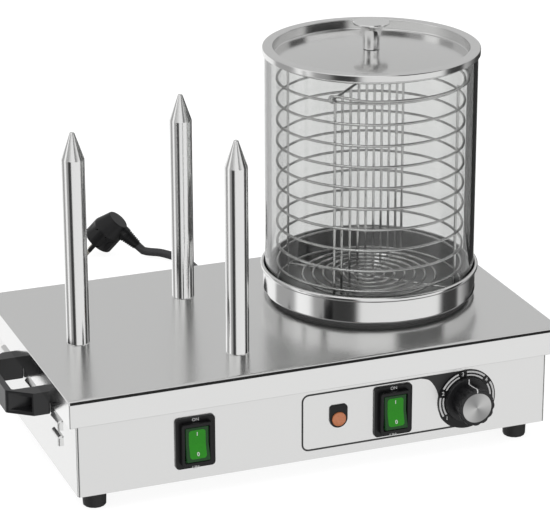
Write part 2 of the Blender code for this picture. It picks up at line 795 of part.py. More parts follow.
def make_heater():
    middle = Matrix.Translation(STEAMER)
    top = SEAT_Z + SEAT_HEIGHT
    boss = PLATE_TOP - HEATER_BOSS_DEPTH
    plate = [
        (0, top),
        (HEATER_RADIUS, top),
        (HEATER_RADIUS, SEAT_Z),
        (HEATER_BOSS_RADIUS, SEAT_Z),
        (HEATER_BOSS_RADIUS, boss),
        (0, boss),
    ]
    turned("heater_plate", plate, DULL_STEEL, middle, MEDIUM)
    z = boss - GAP - ELEMENT_RADIUS
    ends = (ELEMENT_GAP_ANGLE / 2, 2 * math.pi - ELEMENT_GAP_ANGLE / 2)
    ring = [(x, y, z) for x, y in arc((0, 0), ELEMENT_RING, *ends, COARSE)]
    bend = 2 * ELEMENT_RADIUS
    heights = [z - ELEMENT_LEG, z - bend]
    first = [(ring[0][0], ring[0][1] - bend, height) for height in heights]
    last = [(ring[-1][0], ring[-1][1] + bend, height) for height in heights[::-1]]
    tube("heater_element", first + ring + last, ELEMENT_RADIUS, 1, DULL_STEEL, middle)


def make_glass():
    low = PAN_FLOOR_Z + GAP
    inner = GLASS_RADIUS - GLASS_WALL
    profile = [(inner, GLASS_TOP), (GLASS_RADIUS, GLASS_TOP), (GLASS_RADIUS, low), (inner, low)]
    return turned("glass_cylinder", profile, GLASS, Matrix.Translation(STEAMER), FINE, ring=True)


def wire_ring(name, radius, z, sides):
    """A closed ring of basket wire, in the basket's frame."""
    bpy.ops.mesh.primitive_torus_add(
        major_radius=radius, minor_radius=WIRE, major_segments=sides, minor_segments=PENTAGON
    )
    made = bpy.context.object
    mesh = made.data
    bpy.data.objects.remove(made)
    mesh.name = name
    return put(name, mesh, None, BASKET_FRAME @ Matrix.Translation((0, 0, z)))


def make_cage():
    """Rings of the basket, with the four upright wires that they are welded to from outside."""
    reach = BASKET_RADIUS - 2 * WIRE + WELD
    low = PAN_FLOOR_Z + GAP
    top = BASKET_TOP_RING_Z + WIRE
    cage = rod("basket_cage", WIRE, top - low, BRIGHT_STEEL, BASKET_FRAME @ at(reach, 0, low), HEXAGON)
    pieces = []
    for i in range(1, 4):
        turn = Matrix.Rotation(i * math.pi / 2, 4, "Z")
        pieces.append(rod("upright", WIRE, top - low, None, BASKET_FRAME @ turn @ at(reach, 0, low), HEXAGON))
    heights = [BASKET_TOP_RING_Z - i * BASKET_PITCH for i in range(BASKET_RINGS)] + [BASKET_BASE_RING_Z]
    for z in heights:
        pieces.append(wire_ring("ring", BASKET_RADIUS, z, RING_SIDES))
    combine(cage, "UNION", pieces)
    return cage


def make_partition():
    """The upright grid across the basket, with the wire over its top that carries the bail."""
    half = BASKET_RADIUS + PARTITION_OVERHANG
    along = Matrix.Rotation(math.pi / 2, 4, "Y")
    start = BASKET_FRAME @ at(-half, 0, PARTITION_Z, along)
    top = rod("basket_partition", WIRE, 2 * half, BRIGHT_STEEL, start, OCTAGON)
    low = grid_top() + GAP
    wires = []
    for i in range(PARTITION_WIRES):
        x = (i - (PARTITION_WIRES - 1) / 2) * PARTITION_PITCH
        place = BASKET_FRAME @ at(x, 0, low, Matrix.Rotation(WIRE_TURN, 4, "Z"))
        wires.append(rod("partition wire", WIRE, PARTITION_Z - low, None, place, HEXAGON))
    combine(top, "UNION", wires)
    return top


def spoke_z():
    return BASKET_BASE_RING_Z + 2 * WIRE + GAP


def grid_top():
    """Top of the base grid, whose circles lie on its spokes."""
    return spoke_z() + 3 * WIRE - WELD


def make_base_grid():
    half = BASKET_RADIUS - 3 * WIRE + WELD - GAP
    z = spoke_z()
    across = Matrix.Rotation(math.pi / 2, 4, "X")
    along = Matrix.Rotation(math.pi / 2, 4, "Y")
    start = BASKET_FRAME @ at(-half, 0, z, along)
    grid = rod("basket_base_grid", WIRE, 2 * half, BRIGHT_STEEL, start, OCTAGON)
    pieces = [rod("spoke", WIRE, 2 * half, None, BASKET_FRAME @ at(0, half, z, across), HEXAGON)]
    for i in range(1, GRID_CIRCLES + 1):
        sides = HEXAGON + 2 * i
        pieces.append(wire_ring("circle", (i - 0.5) * GRID_PITCH, z + 2 * WIRE - WELD, sides))
    combine(grid, "UNION", pieces)
    return grid


def make_bail():
    """The bail, laid down to the front right, with an eye round each end of the wire that carries it."""
    start = math.asin(BAIL_EYE_RADIUS / BAIL_RADIUS)
    arm = []
    for i in range(BAIL_POINTS + 1):
        angle = start + (math.pi - 2 * start) * i / BAIL_POINTS
        near_end = min(i, BAIL_POINTS - i) / BAIL_POINTS
        rise = max(0, 1 - near_end / BAIL_RISE_SHARE)
        lift = BAIL_EYE_RADIUS * rise * rise * (3 - 2 * rise)
        arm.append((BAIL_RADIUS * math.cos(angle), -BAIL_RADIUS * math.sin(angle), lift))
    eyes = []
    for side in (1, -1):
        x = side * BAIL_RADIUS * math.cos(start)
        eye = []
        for i in range(BAIL_EYE_POINTS + 1):
            angle = math.pi / 2 + BAIL_EYE_ANGLE * (1 - i / BAIL_EYE_POINTS)
            eye.append((x, -BAIL_EYE_RADIUS * math.cos(angle), BAIL_EYE_RADIUS * math.sin(angle)))
        eyes.append(eye)
    points = eyes[0] + arm + eyes[1][::-1]
    frame = BASKET_FRAME @ Matrix.Translation((0, 0, PARTITION_Z))
    return tube("basket_bail", points, WIRE, 1, BRIGHT_STEEL, frame)


def dome_profile(middle, edge_radius, edge, hole):
    """Heights of a shallow dome, from its hole outward."""
    points = []
    for i in range(LID_DOME_STEPS + 1):
        radius = hole + (edge_radius - hole) * i / LID_DOME_STEPS
        share = (radius / edge_radius) ** 2
        points.append((radius, middle + (edge - middle) * share))
    return points


def make_lid():
    frame = Matrix.Translation(STEAMER)
    hole = KNOB_SCREW_RADIUS + SCREW_CLEARANCE
    bend = LID_SHEET
    floor = dome_profile(LID_MIDDLE_Z, LID_RECESS_RADIUS - bend, LID_FLOOR_Z, hole)
    under = dome_profile(LID_MIDDLE_Z - LID_SHEET, LID_RECESS_RADIUS, LID_FLOOR_Z - LID_SHEET, hole)
    profile = floor + [
        (LID_RECESS_RADIUS, LID_FLOOR_Z + bend),
        (LID_RECESS_RADIUS, LID_TOP - bend / 2),
        (LID_RECESS_RADIUS + bend / 2, LID_TOP),
        (LID_RIM_RADIUS - bend, LID_TOP),
        (LID_RIM_RADIUS, LID_TOP - bend),
        (LID_RIM_RADIUS, LID_TOP - LID_LIP),
        (LID_RIM_RADIUS - LID_SHEET, LID_TOP - LID_LIP),
        (LID_RIM_RADIUS - LID_SHEET, LID_TOP - LID_SHEET),
        (LID_RECESS_RADIUS + LID_SHEET, LID_TOP - LID_SHEET),
        (LID_RECESS_RADIUS + LID_SHEET, LID_FLOOR_Z),
    ]
    profile += under[::-1]
    lid = turned("lid", profile, STEEL, frame, FINE, ring=True)
    low = LID_MIDDLE_Z + GAP
    knob = [(radius * KNOB_RADIUS, low + height * KNOB_HEIGHT) for radius, height in KNOB_SHARES]
    knob += [
        (KNOB_FOOT_RADIUS, low),
        (hole, low),
        (hole, low + KNOB_SCREW_DEPTH),
        (0, low + KNOB_SCREW_DEPTH),
    ]
    knob_piece = turned("lid_knob", knob, BRIGHT_STEEL, frame, COARSE)
    head = LID_MIDDLE_Z - LID_SHEET - GAP
    screw = [
        (0, low + KNOB_SCREW_DEPTH - GAP),
        (KNOB_SCREW_RADIUS, low + KNOB_SCREW_DEPTH - GAP),
        (KNOB_SCREW_RADIUS, head),
        (KNOB_SCREW_HEAD_RADIUS, head),
        (KNOB_SCREW_HEAD_RADIUS * HEAD_SHARE, head - KNOB_SCREW_HEAD_HEIGHT),
        (0, head - KNOB_SCREW_HEAD_HEIGHT),
    ]
    screw_piece = turned("lid_knob_screw", screw, DULL_STEEL, frame, SMALL)
    attach(lid, [knob_piece, screw_piece])
    return lid


def make_switch(x, name):
    front = at(x, PANEL_Y, SWITCH_Z, FACING_FRONT)
    plate = rounded(rectangle(BEZEL_WIDTH, BEZEL_HEIGHT), BEZEL_CORNER)
    bezel = flat(f"switch_bezel_{name}", [plate], BEZEL_PLATE, PLASTIC, front @ at(0, 0, GAP))
    collar_outline = rounded(rectangle(COLLAR_WIDTH, COLLAR_HEIGHT), BEZEL_CORNER)
    collar_start = BEZEL_PLATE / 2
    collar_place = front @ at(0, 0, collar_start)
    collar = flat("collar", [collar_outline], COLLAR_REACH - collar_start, None, collar_place)
    depth = SWITCH_BODY_DEPTH + collar_start
    inside_outline = rectangle(SWITCH_BODY_WIDTH, SWITCH_BODY_HEIGHT)
    inside = flat("switch body", [inside_outline], depth, None, front @ at(0, 0, -SWITCH_BODY_DEPTH))
    combine(bezel, "UNION", [collar, inside])
    half = ROCKER_HEIGHT / 2
    half_width = ROCKER_WIDTH / 2 + ROCKER_CLEARANCE
    half_height = math.hypot(half, rocker_edge()) + ROCKER_CLEARANCE
    floor = ROCKER_BACK + half * math.sin(ROCKER_TILT) + ROCKER_CLEARANCE - ROCKER_PIVOT_REACH
    low = (x - half_width, PANEL_Y - COLLAR_REACH - OVERRUN, SWITCH_Z - half_height)
    high = (x + half_width, PANEL_Y + floor, SWITCH_Z + half_height)
    combine(bezel, "DIFFERENCE", [box("rocker pocket", low, high, None)])
    attach(bezel, [make_rocker(x, name)])


def rocker_edge():
    """How far the ends of a level rocker's face stand in front of its pivot."""
    return ROCKER_MIDDLE_REACH - ROCKER_PIVOT_REACH + ROCKER_HEIGHT / 2 * math.tan(ROCKER_TILT)


def make_rocker(x, name):
    """The rocker on its pivot, with its upper end pressed in. Its two faces meet in a shallow V."""
    half = ROCKER_HEIGHT / 2
    edge = rocker_edge()
    middle = ROCKER_MIDDLE_REACH - ROCKER_PIVOT_REACH
    outline = [(-middle, 0), (-edge, -half), (ROCKER_BACK, -half), (ROCKER_BACK, half), (-edge, half)]
    pivot = at(x, PANEL_Y - ROCKER_PIVOT_REACH, SWITCH_Z, Matrix.Rotation(-ROCKER_TILT, 4, "X"))
    start = pivot @ FACING_RIGHT @ at(0, 0, -ROCKER_WIDTH / 2)
    return flat(f"switch_rocker_{name}", [outline], ROCKER_WIDTH, GREEN, start)


def make_pilot():
    round_radius = PILOT_TAG_WIDTH / 2
    lens_z = PILOT_TAG_BOTTOM + round_radius
    front = at(PILOT_X, PANEL_Y, lens_z, FACING_FRONT)
    top = PILOT_TAG_TOP - lens_z - PILOT_TAG_CORNER
    side = round_radius - PILOT_TAG_CORNER
    outline = arc((0, 0), round_radius, math.pi, 2 * math.pi, COARSE // 2)
    outline += arc((side, top), PILOT_TAG_CORNER, 0, math.pi / 2, CORNER_STEPS)
    outline += arc((-side, top), PILOT_TAG_CORNER, math.pi / 2, math.pi, CORNER_STEPS)
    hole = circle(PILOT_LENS_RADIUS + PILOT_LENS_CLEARANCE)
    flat("pilot_tag", [outline, hole], PILOT_TAG_PLATE, PLASTIC, front @ at(0, 0, GAP))
    shoulder = PILOT_TAG_PLATE + GAP
    lens = [(radius * PILOT_LENS_RADIUS, shoulder + rise * PILOT_LENS_RISE) for radius, rise in LENS_SHARES]
    lens += [
        (PILOT_LENS_RADIUS, GAP),
        (PILOT_STEM_RADIUS, GAP),
        (PILOT_STEM_RADIUS, -PILOT_STEM_DEPTH),
        (0, -PILOT_STEM_DEPTH),
    ]
    turned("pilot_lens", lens, ORANGE, front, SMALL)


def make_control():
    """Dial, knob with its cap, shaft and thermostat, all on one line through the panel."""
    front = at(DIAL_X, PANEL_Y, DIAL_Z, FACING_FRONT)
    shaft_hole = SHAFT_RADIUS + CONTROL_CLEARANCE
    loops = [circle(DIAL_RADIUS, sides=FINE), circle(shaft_hole)]
    flat("dial_plate", loops, DIAL_PLATE, PLASTIC, front @ at(0, 0, GAP))
    low = GAP + DIAL_PLATE + CONTROL_CLEARANCE
    skirt_place = front @ at(0, 0, low)
    knob = rod("thermostat_knob", CONTROL_SKIRT_RADIUS, CONTROL_SKIRT, PLASTIC, skirt_place, MEDIUM)
    grip_low = low + CONTROL_SKIRT / 2
    grip_length = CONTROL_REACH - CONTROL_CAP_RISE - grip_low
    grip_sides = CONTROL_FLUTES * FLUTE_STEPS
    grip = rod("grip", 1, grip_length, None, front @ at(0, 0, grip_low), grip_sides)
    for vertex in grip.data.vertices:
        wave = (1 - math.cos(CONTROL_FLUTES * math.atan2(vertex.co.y, vertex.co.x))) / 2
        root = vertex.co.z < grip_length / 2
        radius = (CONTROL_ROOT_RADIUS if root else CONTROL_FRONT_RADIUS) - CONTROL_FLUTE * wave * wave
        vertex.co.x *= radius
        vertex.co.y *= radius
    combine(knob, "UNION", [grip])
    socket_start = front @ at(0, 0, low - OVERRUN)
    socket_length = CONTROL_SOCKET + OVERRUN
    socket = rod("knob socket", SHAFT_RADIUS + SHAFT_CLEARANCE, socket_length, None, socket_start)
    cap_top = CONTROL_REACH
    seat = front @ at(0, 0, cap_top - CONTROL_CAP - GAP)
    recess = rod("cap recess", CONTROL_CAP_RADIUS + GAP, CONTROL_CAP + OVERRUN, None, seat, MEDIUM)
    combine(knob, "DIFFERENCE", [socket, recess])
    cap = [
        (0, cap_top),
        (CONTROL_CAP_RADIUS - CONTROL_CAP / 2, cap_top),
        (CONTROL_CAP_RADIUS, cap_top - CONTROL_CAP / 2),
        (CONTROL_CAP_RADIUS, cap_top - CONTROL_CAP),
        (0, cap_top - CONTROL_CAP),
    ]
    cap_piece = turned("knob_cap", cap, STEEL, front, MEDIUM)
    end = low + CONTROL_SOCKET - GAP
    inner_end = front @ at(0, 0, -SHAFT_INSIDE)
    shaft = rod("thermostat_shaft", SHAFT_RADIUS, end + SHAFT_INSIDE, DULL_STEEL, inner_end)
    attach(knob, [cap_piece, shaft])
    face = -(SHEET + GAP)
    bore = -(SHAFT_INSIDE + CONTROL_CLEARANCE)
    body = [
        (0, bore),
        (shaft_hole, bore),
        (shaft_hole, face),
        (THERMOSTAT_RADIUS, face),
        (THERMOSTAT_RADIUS, face - THERMOSTAT_DEPTH),
        (0, face - THERMOSTAT_DEPTH),
    ]
    turned("thermostat_body", body, DULL_STEEL, front)


def make_terminals():
    low = BODY_BOTTOM + SHEET + GAP
    y = BACK_Y - TERMINAL_INSET
    half_width = TERMINAL_WIDTH / 2
    half_depth = TERMINAL_DEPTH / 2
    corner_low = (TERMINAL_X - half_width, y - half_depth, low)
    corner_high = (TERMINAL_X + half_width, y + half_depth, low + TERMINAL_HEIGHT)
    block = box("terminal_block", corner_low, corner_high, RUBBER)
    cuts = []
    for i in range(1, TERMINAL_POLES):
        x = TERMINAL_X - half_width + TERMINAL_WIDTH * i / TERMINAL_POLES
        slot_low = (x - TERMINAL_SLOT / 2, y - half_depth - OVERRUN, low + TERMINAL_HEIGHT / 2)
        slot_high = (x + TERMINAL_SLOT / 2, y + half_depth + OVERRUN, low + TERMINAL_HEIGHT + OVERRUN)
        cuts.append(box("slot", slot_low, slot_high, None))
    combine(block, "DIFFERENCE", cuts)


def make_gland():
    back = at(GLAND_X, BACK_Y, GLAND_Z, FACING_BACK)
    end = GLAND_FLANGE + RELIEF_LENGTH
    gland = [
        (0, end),
        (RELIEF_END_RADIUS, end),
        (RELIEF_ROOT_RADIUS, GLAND_FLANGE),
        (GLAND_FLANGE_RADIUS, GLAND_FLANGE),
        (GLAND_FLANGE_RADIUS, GAP),
        (GLAND_THREAD_RADIUS, GAP),
        (GLAND_THREAD_RADIUS, -GLAND_THREAD),
        (0, -GLAND_THREAD),
    ]
    turned("cord_gland", gland, PLASTIC, back, SMALL)
    loops = [circle(GLAND_NUT_RADIUS, sides=HEXAGON), circle(GLAND_THREAD_RADIUS + GAP)]
    flat("gland_nut", loops, GLAND_NUT, PLASTIC, back @ at(0, 0, -(SHEET + GAP + GLAND_NUT)))


def smooth_route(points, start_way, end_way):
    """Points along a smooth curve through a route, straight for one diameter at both ends."""
    diameter = 2 * CORD_RADIUS
    first = points[0] + start_way * diameter
    last = points[-1] - end_way * diameter
    route = [points[0], first, *points[1:-1], last, points[-1]]
    dense = [route[0]]
    for i in range(1, len(route) - 2):
        before, here, after, beyond = route[i - 1 : i + 3]
        span = (after - here).length
        leave = (after - before).normalized() * span
        arrive = (beyond - here).normalized() * span
        for k in range(ROUTE_STEPS):
            t = k / ROUTE_STEPS
            dense.append(
                here * (2 * t**3 - 3 * t**2 + 1)
                + leave * (t**3 - 2 * t**2 + t)
                + after * (3 * t**2 - 2 * t**3)
                + arrive * (t**3 - t**2)
            )
    dense += route[-2:]
    return spaced(dense, CORD_STEP)


def spaced(points, step):
    """Points at even steps along a line, with the two at each end kept."""
    inner = points[1:-1]
    lengths = [0]
    for a, b in zip(inner, inner[1:]):
        lengths.append(lengths[-1] + (b - a).length)
    count = max(2, round(lengths[-1] / step))
    picked = []
    i = 0
    for k in range(count + 1):
        goal = lengths[-1] * k / count
        while i < len(inner) - 2 and lengths[i + 1] < goal:
            i += 1
        share = (goal - lengths[i]) / (lengths[i + 1] - lengths[i])
        picked.append(inner[i].lerp(inner[i + 1], min(1, share)))
    return [points[0], *picked, points[-1]]


def coil_points():
    """Loops that spiral in on the table, climb a layer where the spiral turns back, and spiral out on top."""
    steps = COIL_LOOPS * COIL_LOOP_POINTS
    points = []
    for i in range(steps + 1):
        turns = i / COIL_LOOP_POINTS
        from_middle = abs(turns - COIL_LOOPS / 2)
        radius = COIL_RADIUS + COIL_PITCH * (from_middle - COIL_LOOPS / 4)
        climb = min(1, max(0, (turns - COIL_LOOPS / 2) / CLIMB_TURNS + 0.5))
        z = CORD_Z + COIL_LAYER * climb * climb * (3 - 2 * climb)
        angle = 2 * math.pi * turns
        points.append(Vector((COIL_X + radius * math.cos(angle), COIL_Y + radius * math.sin(angle), z)))
    straight = Vector((0, 2 * CORD_RADIUS, 0))
    return [points[0] - straight, *points, points[-1] + straight]


def least_gap(points):
    """The smallest gap of a tube to itself, between points that lie over three diameters apart along it."""
    apart = math.ceil(6 * CORD_RADIUS / (points[2] - points[1]).length) + 1
    return min(
        (points[i] - points[j]).length
        for i in range(len(points))
        for j in range(i + apart, len(points))
    ) - 2 * CORD_RADIUS


def plug_frame():
    """The plug's frame, with its origin in the middle of its face: Z points back, and Y to the cord."""
    along = Vector((math.cos(PLUG_HEADING), math.sin(PLUG_HEADING), 0))
    up = Vector((0, 0, 1))
    back = along * math.cos(PLUG_TILT) + up * math.sin(PLUG_TILT)
    to_cord = along * math.sin(PLUG_TILT) - up * math.cos(PLUG_TILT)
    turn = Matrix((to_cord.cross(back), to_cord, back)).transposed().to_4x4()
    tip_z = PIN_RADIUS * math.cos(PLUG_TILT) + CORD_LIFT
    face = Vector((PLUG_TIP_X, PLUG_TIP_Y, tip_z)) + back * PIN_LENGTH
    return Matrix.Translation(face) @ turn


def make_cord():
    ahead = Vector((0, 1, 0))
    down_coil = coil_points()
    print(f"least gap of the coil to itself: {least_gap(down_coil) * 1000:.2f} mm")
    tube("cord_coil", down_coil, CORD_RADIUS, 1, CORD_RUBBER)
    exit_start = Vector((GLAND_X, BACK_Y + GLAND_FLANGE + RELIEF_LENGTH + GAP, GLAND_Z))
    exit_end = down_coil[0] - ahead * GAP
    middle = [Vector((GLAND_X, y, CORD_Z + lift)) for y, lift in EXIT_ROUTE]
    exit_points = smooth_route([exit_start, *middle, exit_end], ahead, ahead)
    tube("cord_exit", exit_points, CORD_RADIUS, 2, CORD_RUBBER)
    frame = plug_frame()
    to_plug = -(frame.to_3x3() @ Vector((0, 1, 0)))
    tail_start = down_coil[-1] + ahead * GAP
    tail_end = frame @ Vector((0, NECK_START + NECK_LENGTH + GAP, NECK_DEPTH))
    middle = [Vector((x, y, CORD_Z + lift)) for x, y, lift in TAIL_ROUTE]
    tail_points = smooth_route([tail_start, *middle, tail_end], ahead, to_plug)
    tube("cord_tail", tail_points, CORD_RADIUS, 2, CORD_RUBBER)


def make_plug():
    frame = plug_frame()
    body = rod("plug_body", PLUG_FACE_RADIUS, PLUG_RIM, PLASTIC, frame, COARSE)
    bm = bmesh.new()
    bm.from_mesh(body.data)
    bm.faces.ensure_lookup_table()
    back = max(bm.faces, key=lambda face: face.calc_center_median().z)
    made = bmesh.ops.extrude_discrete_faces(bm, faces=[back])["faces"][0]
    narrower = PLUG_BACK_RADIUS / PLUG_FACE_RADIUS
    bmesh.ops.scale(bm, vec=(narrower, narrower, 1), verts=made.verts)
    bmesh.ops.translate(bm, vec=(0, PLUG_BACK_SHIFT, PLUG_DEPTH - PLUG_RIM), verts=made.verts)
    bm.to_mesh(body.data)
    bm.free()
    round_edges(body, PLUG_EDGE, 1)
    sideways = FACING_BACK
    boss = rod("boss", BOSS_RADIUS, NECK_START, None, frame @ at(0, 0, NECK_DEPTH, sideways), SMALL)
    combine(body, "UNION", [boss])
    neck = []
    for i in range(NECK_RIBS):
        for edge, depth in ((0, 0), (1, NECK_RIB_DEPTH)):
            share = (i + edge / 2) / NECK_RIBS
            radius = NECK_END_RADIUS + (NECK_ROOT_RADIUS - NECK_END_RADIUS) * share - depth
            neck.append((radius, NECK_START + NECK_LENGTH * (1 - share)))
    low = NECK_START + GAP
    profile = [(0, NECK_START + NECK_LENGTH), *neck, (NECK_ROOT_RADIUS, low), (0, low)]
    neck_piece = turned("plug_neck", profile, PLASTIC, frame @ at(0, 0, NECK_DEPTH, sideways), SMALL)
    pins = []
    for side, name in ((-1, "a"), (1, "b")):
        tip = -PIN_LENGTH
        pin = [
            (0, -GAP),
            (PIN_RADIUS, -GAP),
            (PIN_RADIUS, tip + PIN_RADIUS / 2),
            (PIN_RADIUS * PIN_TIP_SHARE, tip),
            (0, tip),
        ]
        pins.append(turned(f"plug_pin_{name}", pin, BRASS, frame @ at(side * PIN_SPACING / 2, 0, 0), SMALL))
    attach(body, [neck_piece, *pins])


clear_scene()
MACHINE = new_collection("hot_dog_spike_machine", bpy.context.scene.collection)
HELPERS = new_collection("cutters", bpy.context.scene.collection)

make_body()
make_cover()
make_bottom()
make_feet()
make_handle(-1, "left")
make_handle(1, "right")
make_spikes()
make_pan()
make_heater()
glass = make_glass()
cage = make_cage()
attach(cage, [make_partition(), make_base_grid(), make_bail()])
attach(glass, [cage, make_lid()])
make_switch(SWITCH_LEFT_X, "left")
make_switch(SWITCH_RIGHT_X, "right")
make_pilot()
make_control()
make_terminals()
make_gland()
make_cord()
make_plug()
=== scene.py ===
# %% [markdown]
# # A countertop hot dog machine
# The steel box carries three heated spikes for the rolls, on the left, and a glass steamer for the
# sausages, on the right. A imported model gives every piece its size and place. This lesson gives the
# pieces their finish, and makes new, finer ones for those that show.

# %% Load the frame
import math

import bmesh
import bpy
from mathutils import Matrix, Vector


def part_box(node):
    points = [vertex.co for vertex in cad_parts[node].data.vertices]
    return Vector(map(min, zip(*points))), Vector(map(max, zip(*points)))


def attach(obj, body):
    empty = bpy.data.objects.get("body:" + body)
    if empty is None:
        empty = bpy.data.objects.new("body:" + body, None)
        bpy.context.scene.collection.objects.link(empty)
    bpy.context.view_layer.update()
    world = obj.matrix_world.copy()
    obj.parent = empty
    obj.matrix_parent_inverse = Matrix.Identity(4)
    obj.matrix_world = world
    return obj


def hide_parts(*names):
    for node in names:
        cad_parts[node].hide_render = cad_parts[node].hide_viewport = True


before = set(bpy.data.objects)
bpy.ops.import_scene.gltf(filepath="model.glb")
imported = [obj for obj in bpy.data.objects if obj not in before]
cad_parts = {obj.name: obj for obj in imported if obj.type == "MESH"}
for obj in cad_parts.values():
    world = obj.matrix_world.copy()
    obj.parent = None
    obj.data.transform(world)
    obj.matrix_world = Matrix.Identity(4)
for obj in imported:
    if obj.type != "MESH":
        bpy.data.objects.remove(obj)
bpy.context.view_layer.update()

FULL_TURN = 2 * math.pi
UP = Vector((0, 0, 1))

# %% [markdown]
# ## The camera
# A long lens far away gives the flat perspective of a catalogue picture. Its place and turn come
# from lines whose real lengths are known: the plate's edges, the spikes and the steamer's glass.

# %% Camera
CAMERA_PLACE = (-0.8091, -2.1162, 1.0140)
CAMERA_HEADING = math.radians(-21.051)
CAMERA_DIP = math.radians(20.447)
CAMERA_ROLL = math.radians(-0.165)
FOCAL_LENGTH = 169.4
FARTHEST = 50


def in_scene(name, data):
    """A new object in the scene."""
    obj = bpy.data.objects.new(name, data)
    bpy.context.scene.collection.objects.link(obj)
    return obj


camera_data = bpy.data.cameras.new("camera")
camera_data.lens = FOCAL_LENGTH
camera_data.clip_end = FARTHEST
camera = in_scene("camera", camera_data)
bpy.context.scene.camera = camera
dip = Matrix.Rotation(math.pi / 2 - CAMERA_DIP, 4, "X") @ Matrix.Rotation(CAMERA_ROLL, 4, "Z")
camera_turn = Matrix.Rotation(CAMERA_HEADING, 4, "Z") @ dip
camera.matrix_world = Matrix.Translation(CAMERA_PLACE) @ camera_turn

# %% [markdown]
# ## Small tools for shapes
# Most pieces here are turned, cut from sheet, or bent from wire. So a few helpers do most of the
# work: one rounds the corners of an outline, one spins a profile, one gives an outline a thickness,
# and one puts a skin over a row of rings.

# %% Outlines
MERGE = 0.00001
FINE = 96
MEDIUM = 64
COARSE = 48
ROUGH = 32


def polar(radius, angle):
    return (radius * math.cos(angle), radius * math.sin(angle))


def arc(radius, first, last, steps):
    """Points from one angle to another, with both ends."""
    return [polar(radius, first + (last - first) * i / steps) for i in range(steps + 1)]


def circle(radius, steps=MEDIUM):
    return arc(radius, 0, FULL_TURN, steps)[:-1]


def eased(corners, steps=5):
    """The outline through corners (x, y), each rounded off where a radius follows."""
    outline = []
    for i, (x, y, *radius) in enumerate(corners):
        if not any(radius):
            outline.append((x, y))
            continue
        here = Vector((x, y))
        back = (Vector(corners[i - 1][:2]) - here).normalized()
        ahead = (Vector(corners[(i + 1) % len(corners)][:2]) - here).normalized()
        half = back.angle(ahead) / 2
        middle = here + (back + ahead).normalized() * (radius[0] / math.sin(half))
        first = here + back * (radius[0] / math.tan(half)) - middle
        sweep = math.pi - 2 * half
        side = 1 if back.x * ahead.y - back.y * ahead.x < 0 else -1
        for k in range(steps + 1):
            turn = Matrix.Rotation(side * sweep * k / steps, 2)
            outline.append(tuple(middle + turn @ first))
    return outline


def rectangle(width, height, radius):
    signs = ((-1, -1), (1, -1), (1, 1), (-1, 1))
    return eased([(i * width / 2, j * height / 2, radius) for i, j in signs])


# %% Solids
def round_off(bm, edges, width, segments=3):
    kind = {"offset_type": "OFFSET", "profile": 0.5, "affect": "EDGES", "clamp_overlap": True}
    bmesh.ops.bevel(bm, geom=list(edges), offset=width, segments=segments, material=-1, **kind)


def lathe(bm, profile, place, steps=FINE, closed=False):
    """Spins a profile of radius and height round the place's Z."""
    verts = [bm.verts.new(place @ Vector((radius, 0, height))) for radius, height in profile]
    edges = [bm.edges.new(pair) for pair in zip(verts, verts[1:])]
    if closed:
        edges.append(bm.edges.new((verts[-1], verts[0])))
    turn = {"cent": place.translation, "axis": place.to_3x3() @ UP, "angle": FULL_TURN}
    bmesh.ops.spin(bm, geom=verts + edges, steps=steps, use_merge=True, **turn)


def cylinder(bm, radius, low, high, place, steps=MEDIUM, ease=0.0):
    """A round bar along the place's Z."""
    profile = [(0, low), (radius, low, ease), (radius, high, ease), (0, high)]
    lathe(bm, eased(profile), place, steps)


def slab(bm, outline, low, high, place, ease=0.0, segments=3):
    """Gives a flat outline a thickness along the place's Z, with its front rim rounded."""
    verts = [bm.verts.new(place @ Vector((x, y, low))) for x, y in outline]
    face = bm.faces.new(verts)
    made = bmesh.ops.extrude_face_region(bm, geom=[face], use_keep_orig=True)["geom"]
    moved = [v for v in made if isinstance(v, bmesh.types.BMVert)]
    bmesh.ops.translate(bm, vec=place.to_3x3() @ Vector((0, 0, high - low)), verts=moved)
    if ease:
        front = [f for f in made if isinstance(f, bmesh.types.BMFace)][0]
        round_off(bm, front.edges, ease, segments)


def loop(bm, spots):
    """A closed ring of edges through points."""
    verts = [bm.verts.new(spot) for spot in spots]
    return [bm.edges.new(pair) for pair in zip(verts, verts[1:] + verts[:1])]


def skin(bm, loops, closed=False):
    """Faces from each loop to the next. The ends are closed, or joined to each other."""
    following = loops[1:] + loops[:1] if closed else loops[1:]
    for a, b in zip(loops, following):
        bmesh.ops.bridge_loops(bm, edges=a + b)
    if not closed:
        for end in (loops[0], loops[-1]):
            bmesh.ops.contextual_create(bm, geom=end)


def wire(bm, points, radius, sides=10, closed=False):
    """A round wire through points."""
    rings = []
    count = len(points)
    normal = None
    for i, point in enumerate(points):
        back = points[i - 1] if i or closed else point
        ahead = points[(i + 1) % count] if i < count - 1 or closed else point
        along = (ahead - back).normalized()
        if normal is None:
            normal = along.orthogonal().normalized()
        normal = (normal - along * normal.dot(along)).normalized()
        across = along.cross(normal)
        rings.append(loop(bm, [point + normal * u + across * v for u, v in circle(radius, sides)]))
    skin(bm, rings, closed)


# %% [markdown]
# A finished piece is a mesh whose place is in its vertices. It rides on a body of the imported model,
# and hides the plainer solid that it stands for. Round pieces are shaded smooth, and edges over a
# set angle stay crisp.

# %% Finishing a piece
SHARP = math.radians(38)
FLAT = math.radians(1)


def mesh_from(name, bm):
    mesh = bpy.data.meshes.new(name)
    bm.to_mesh(mesh)
    bm.free()
    return mesh


def ride_on(name, data, finish, stands_for=(), body="base"):
    obj = in_scene(name, data)
    data.materials.clear()
    data.materials.append(finish)
    if obj.type == "MESH":
        weighed = obj.modifiers.new("Flat faces stay flat", "WEIGHTED_NORMAL")
        weighed.keep_sharp = True
    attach(obj, body)
    if stands_for:
        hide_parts(*stands_for)
    return obj


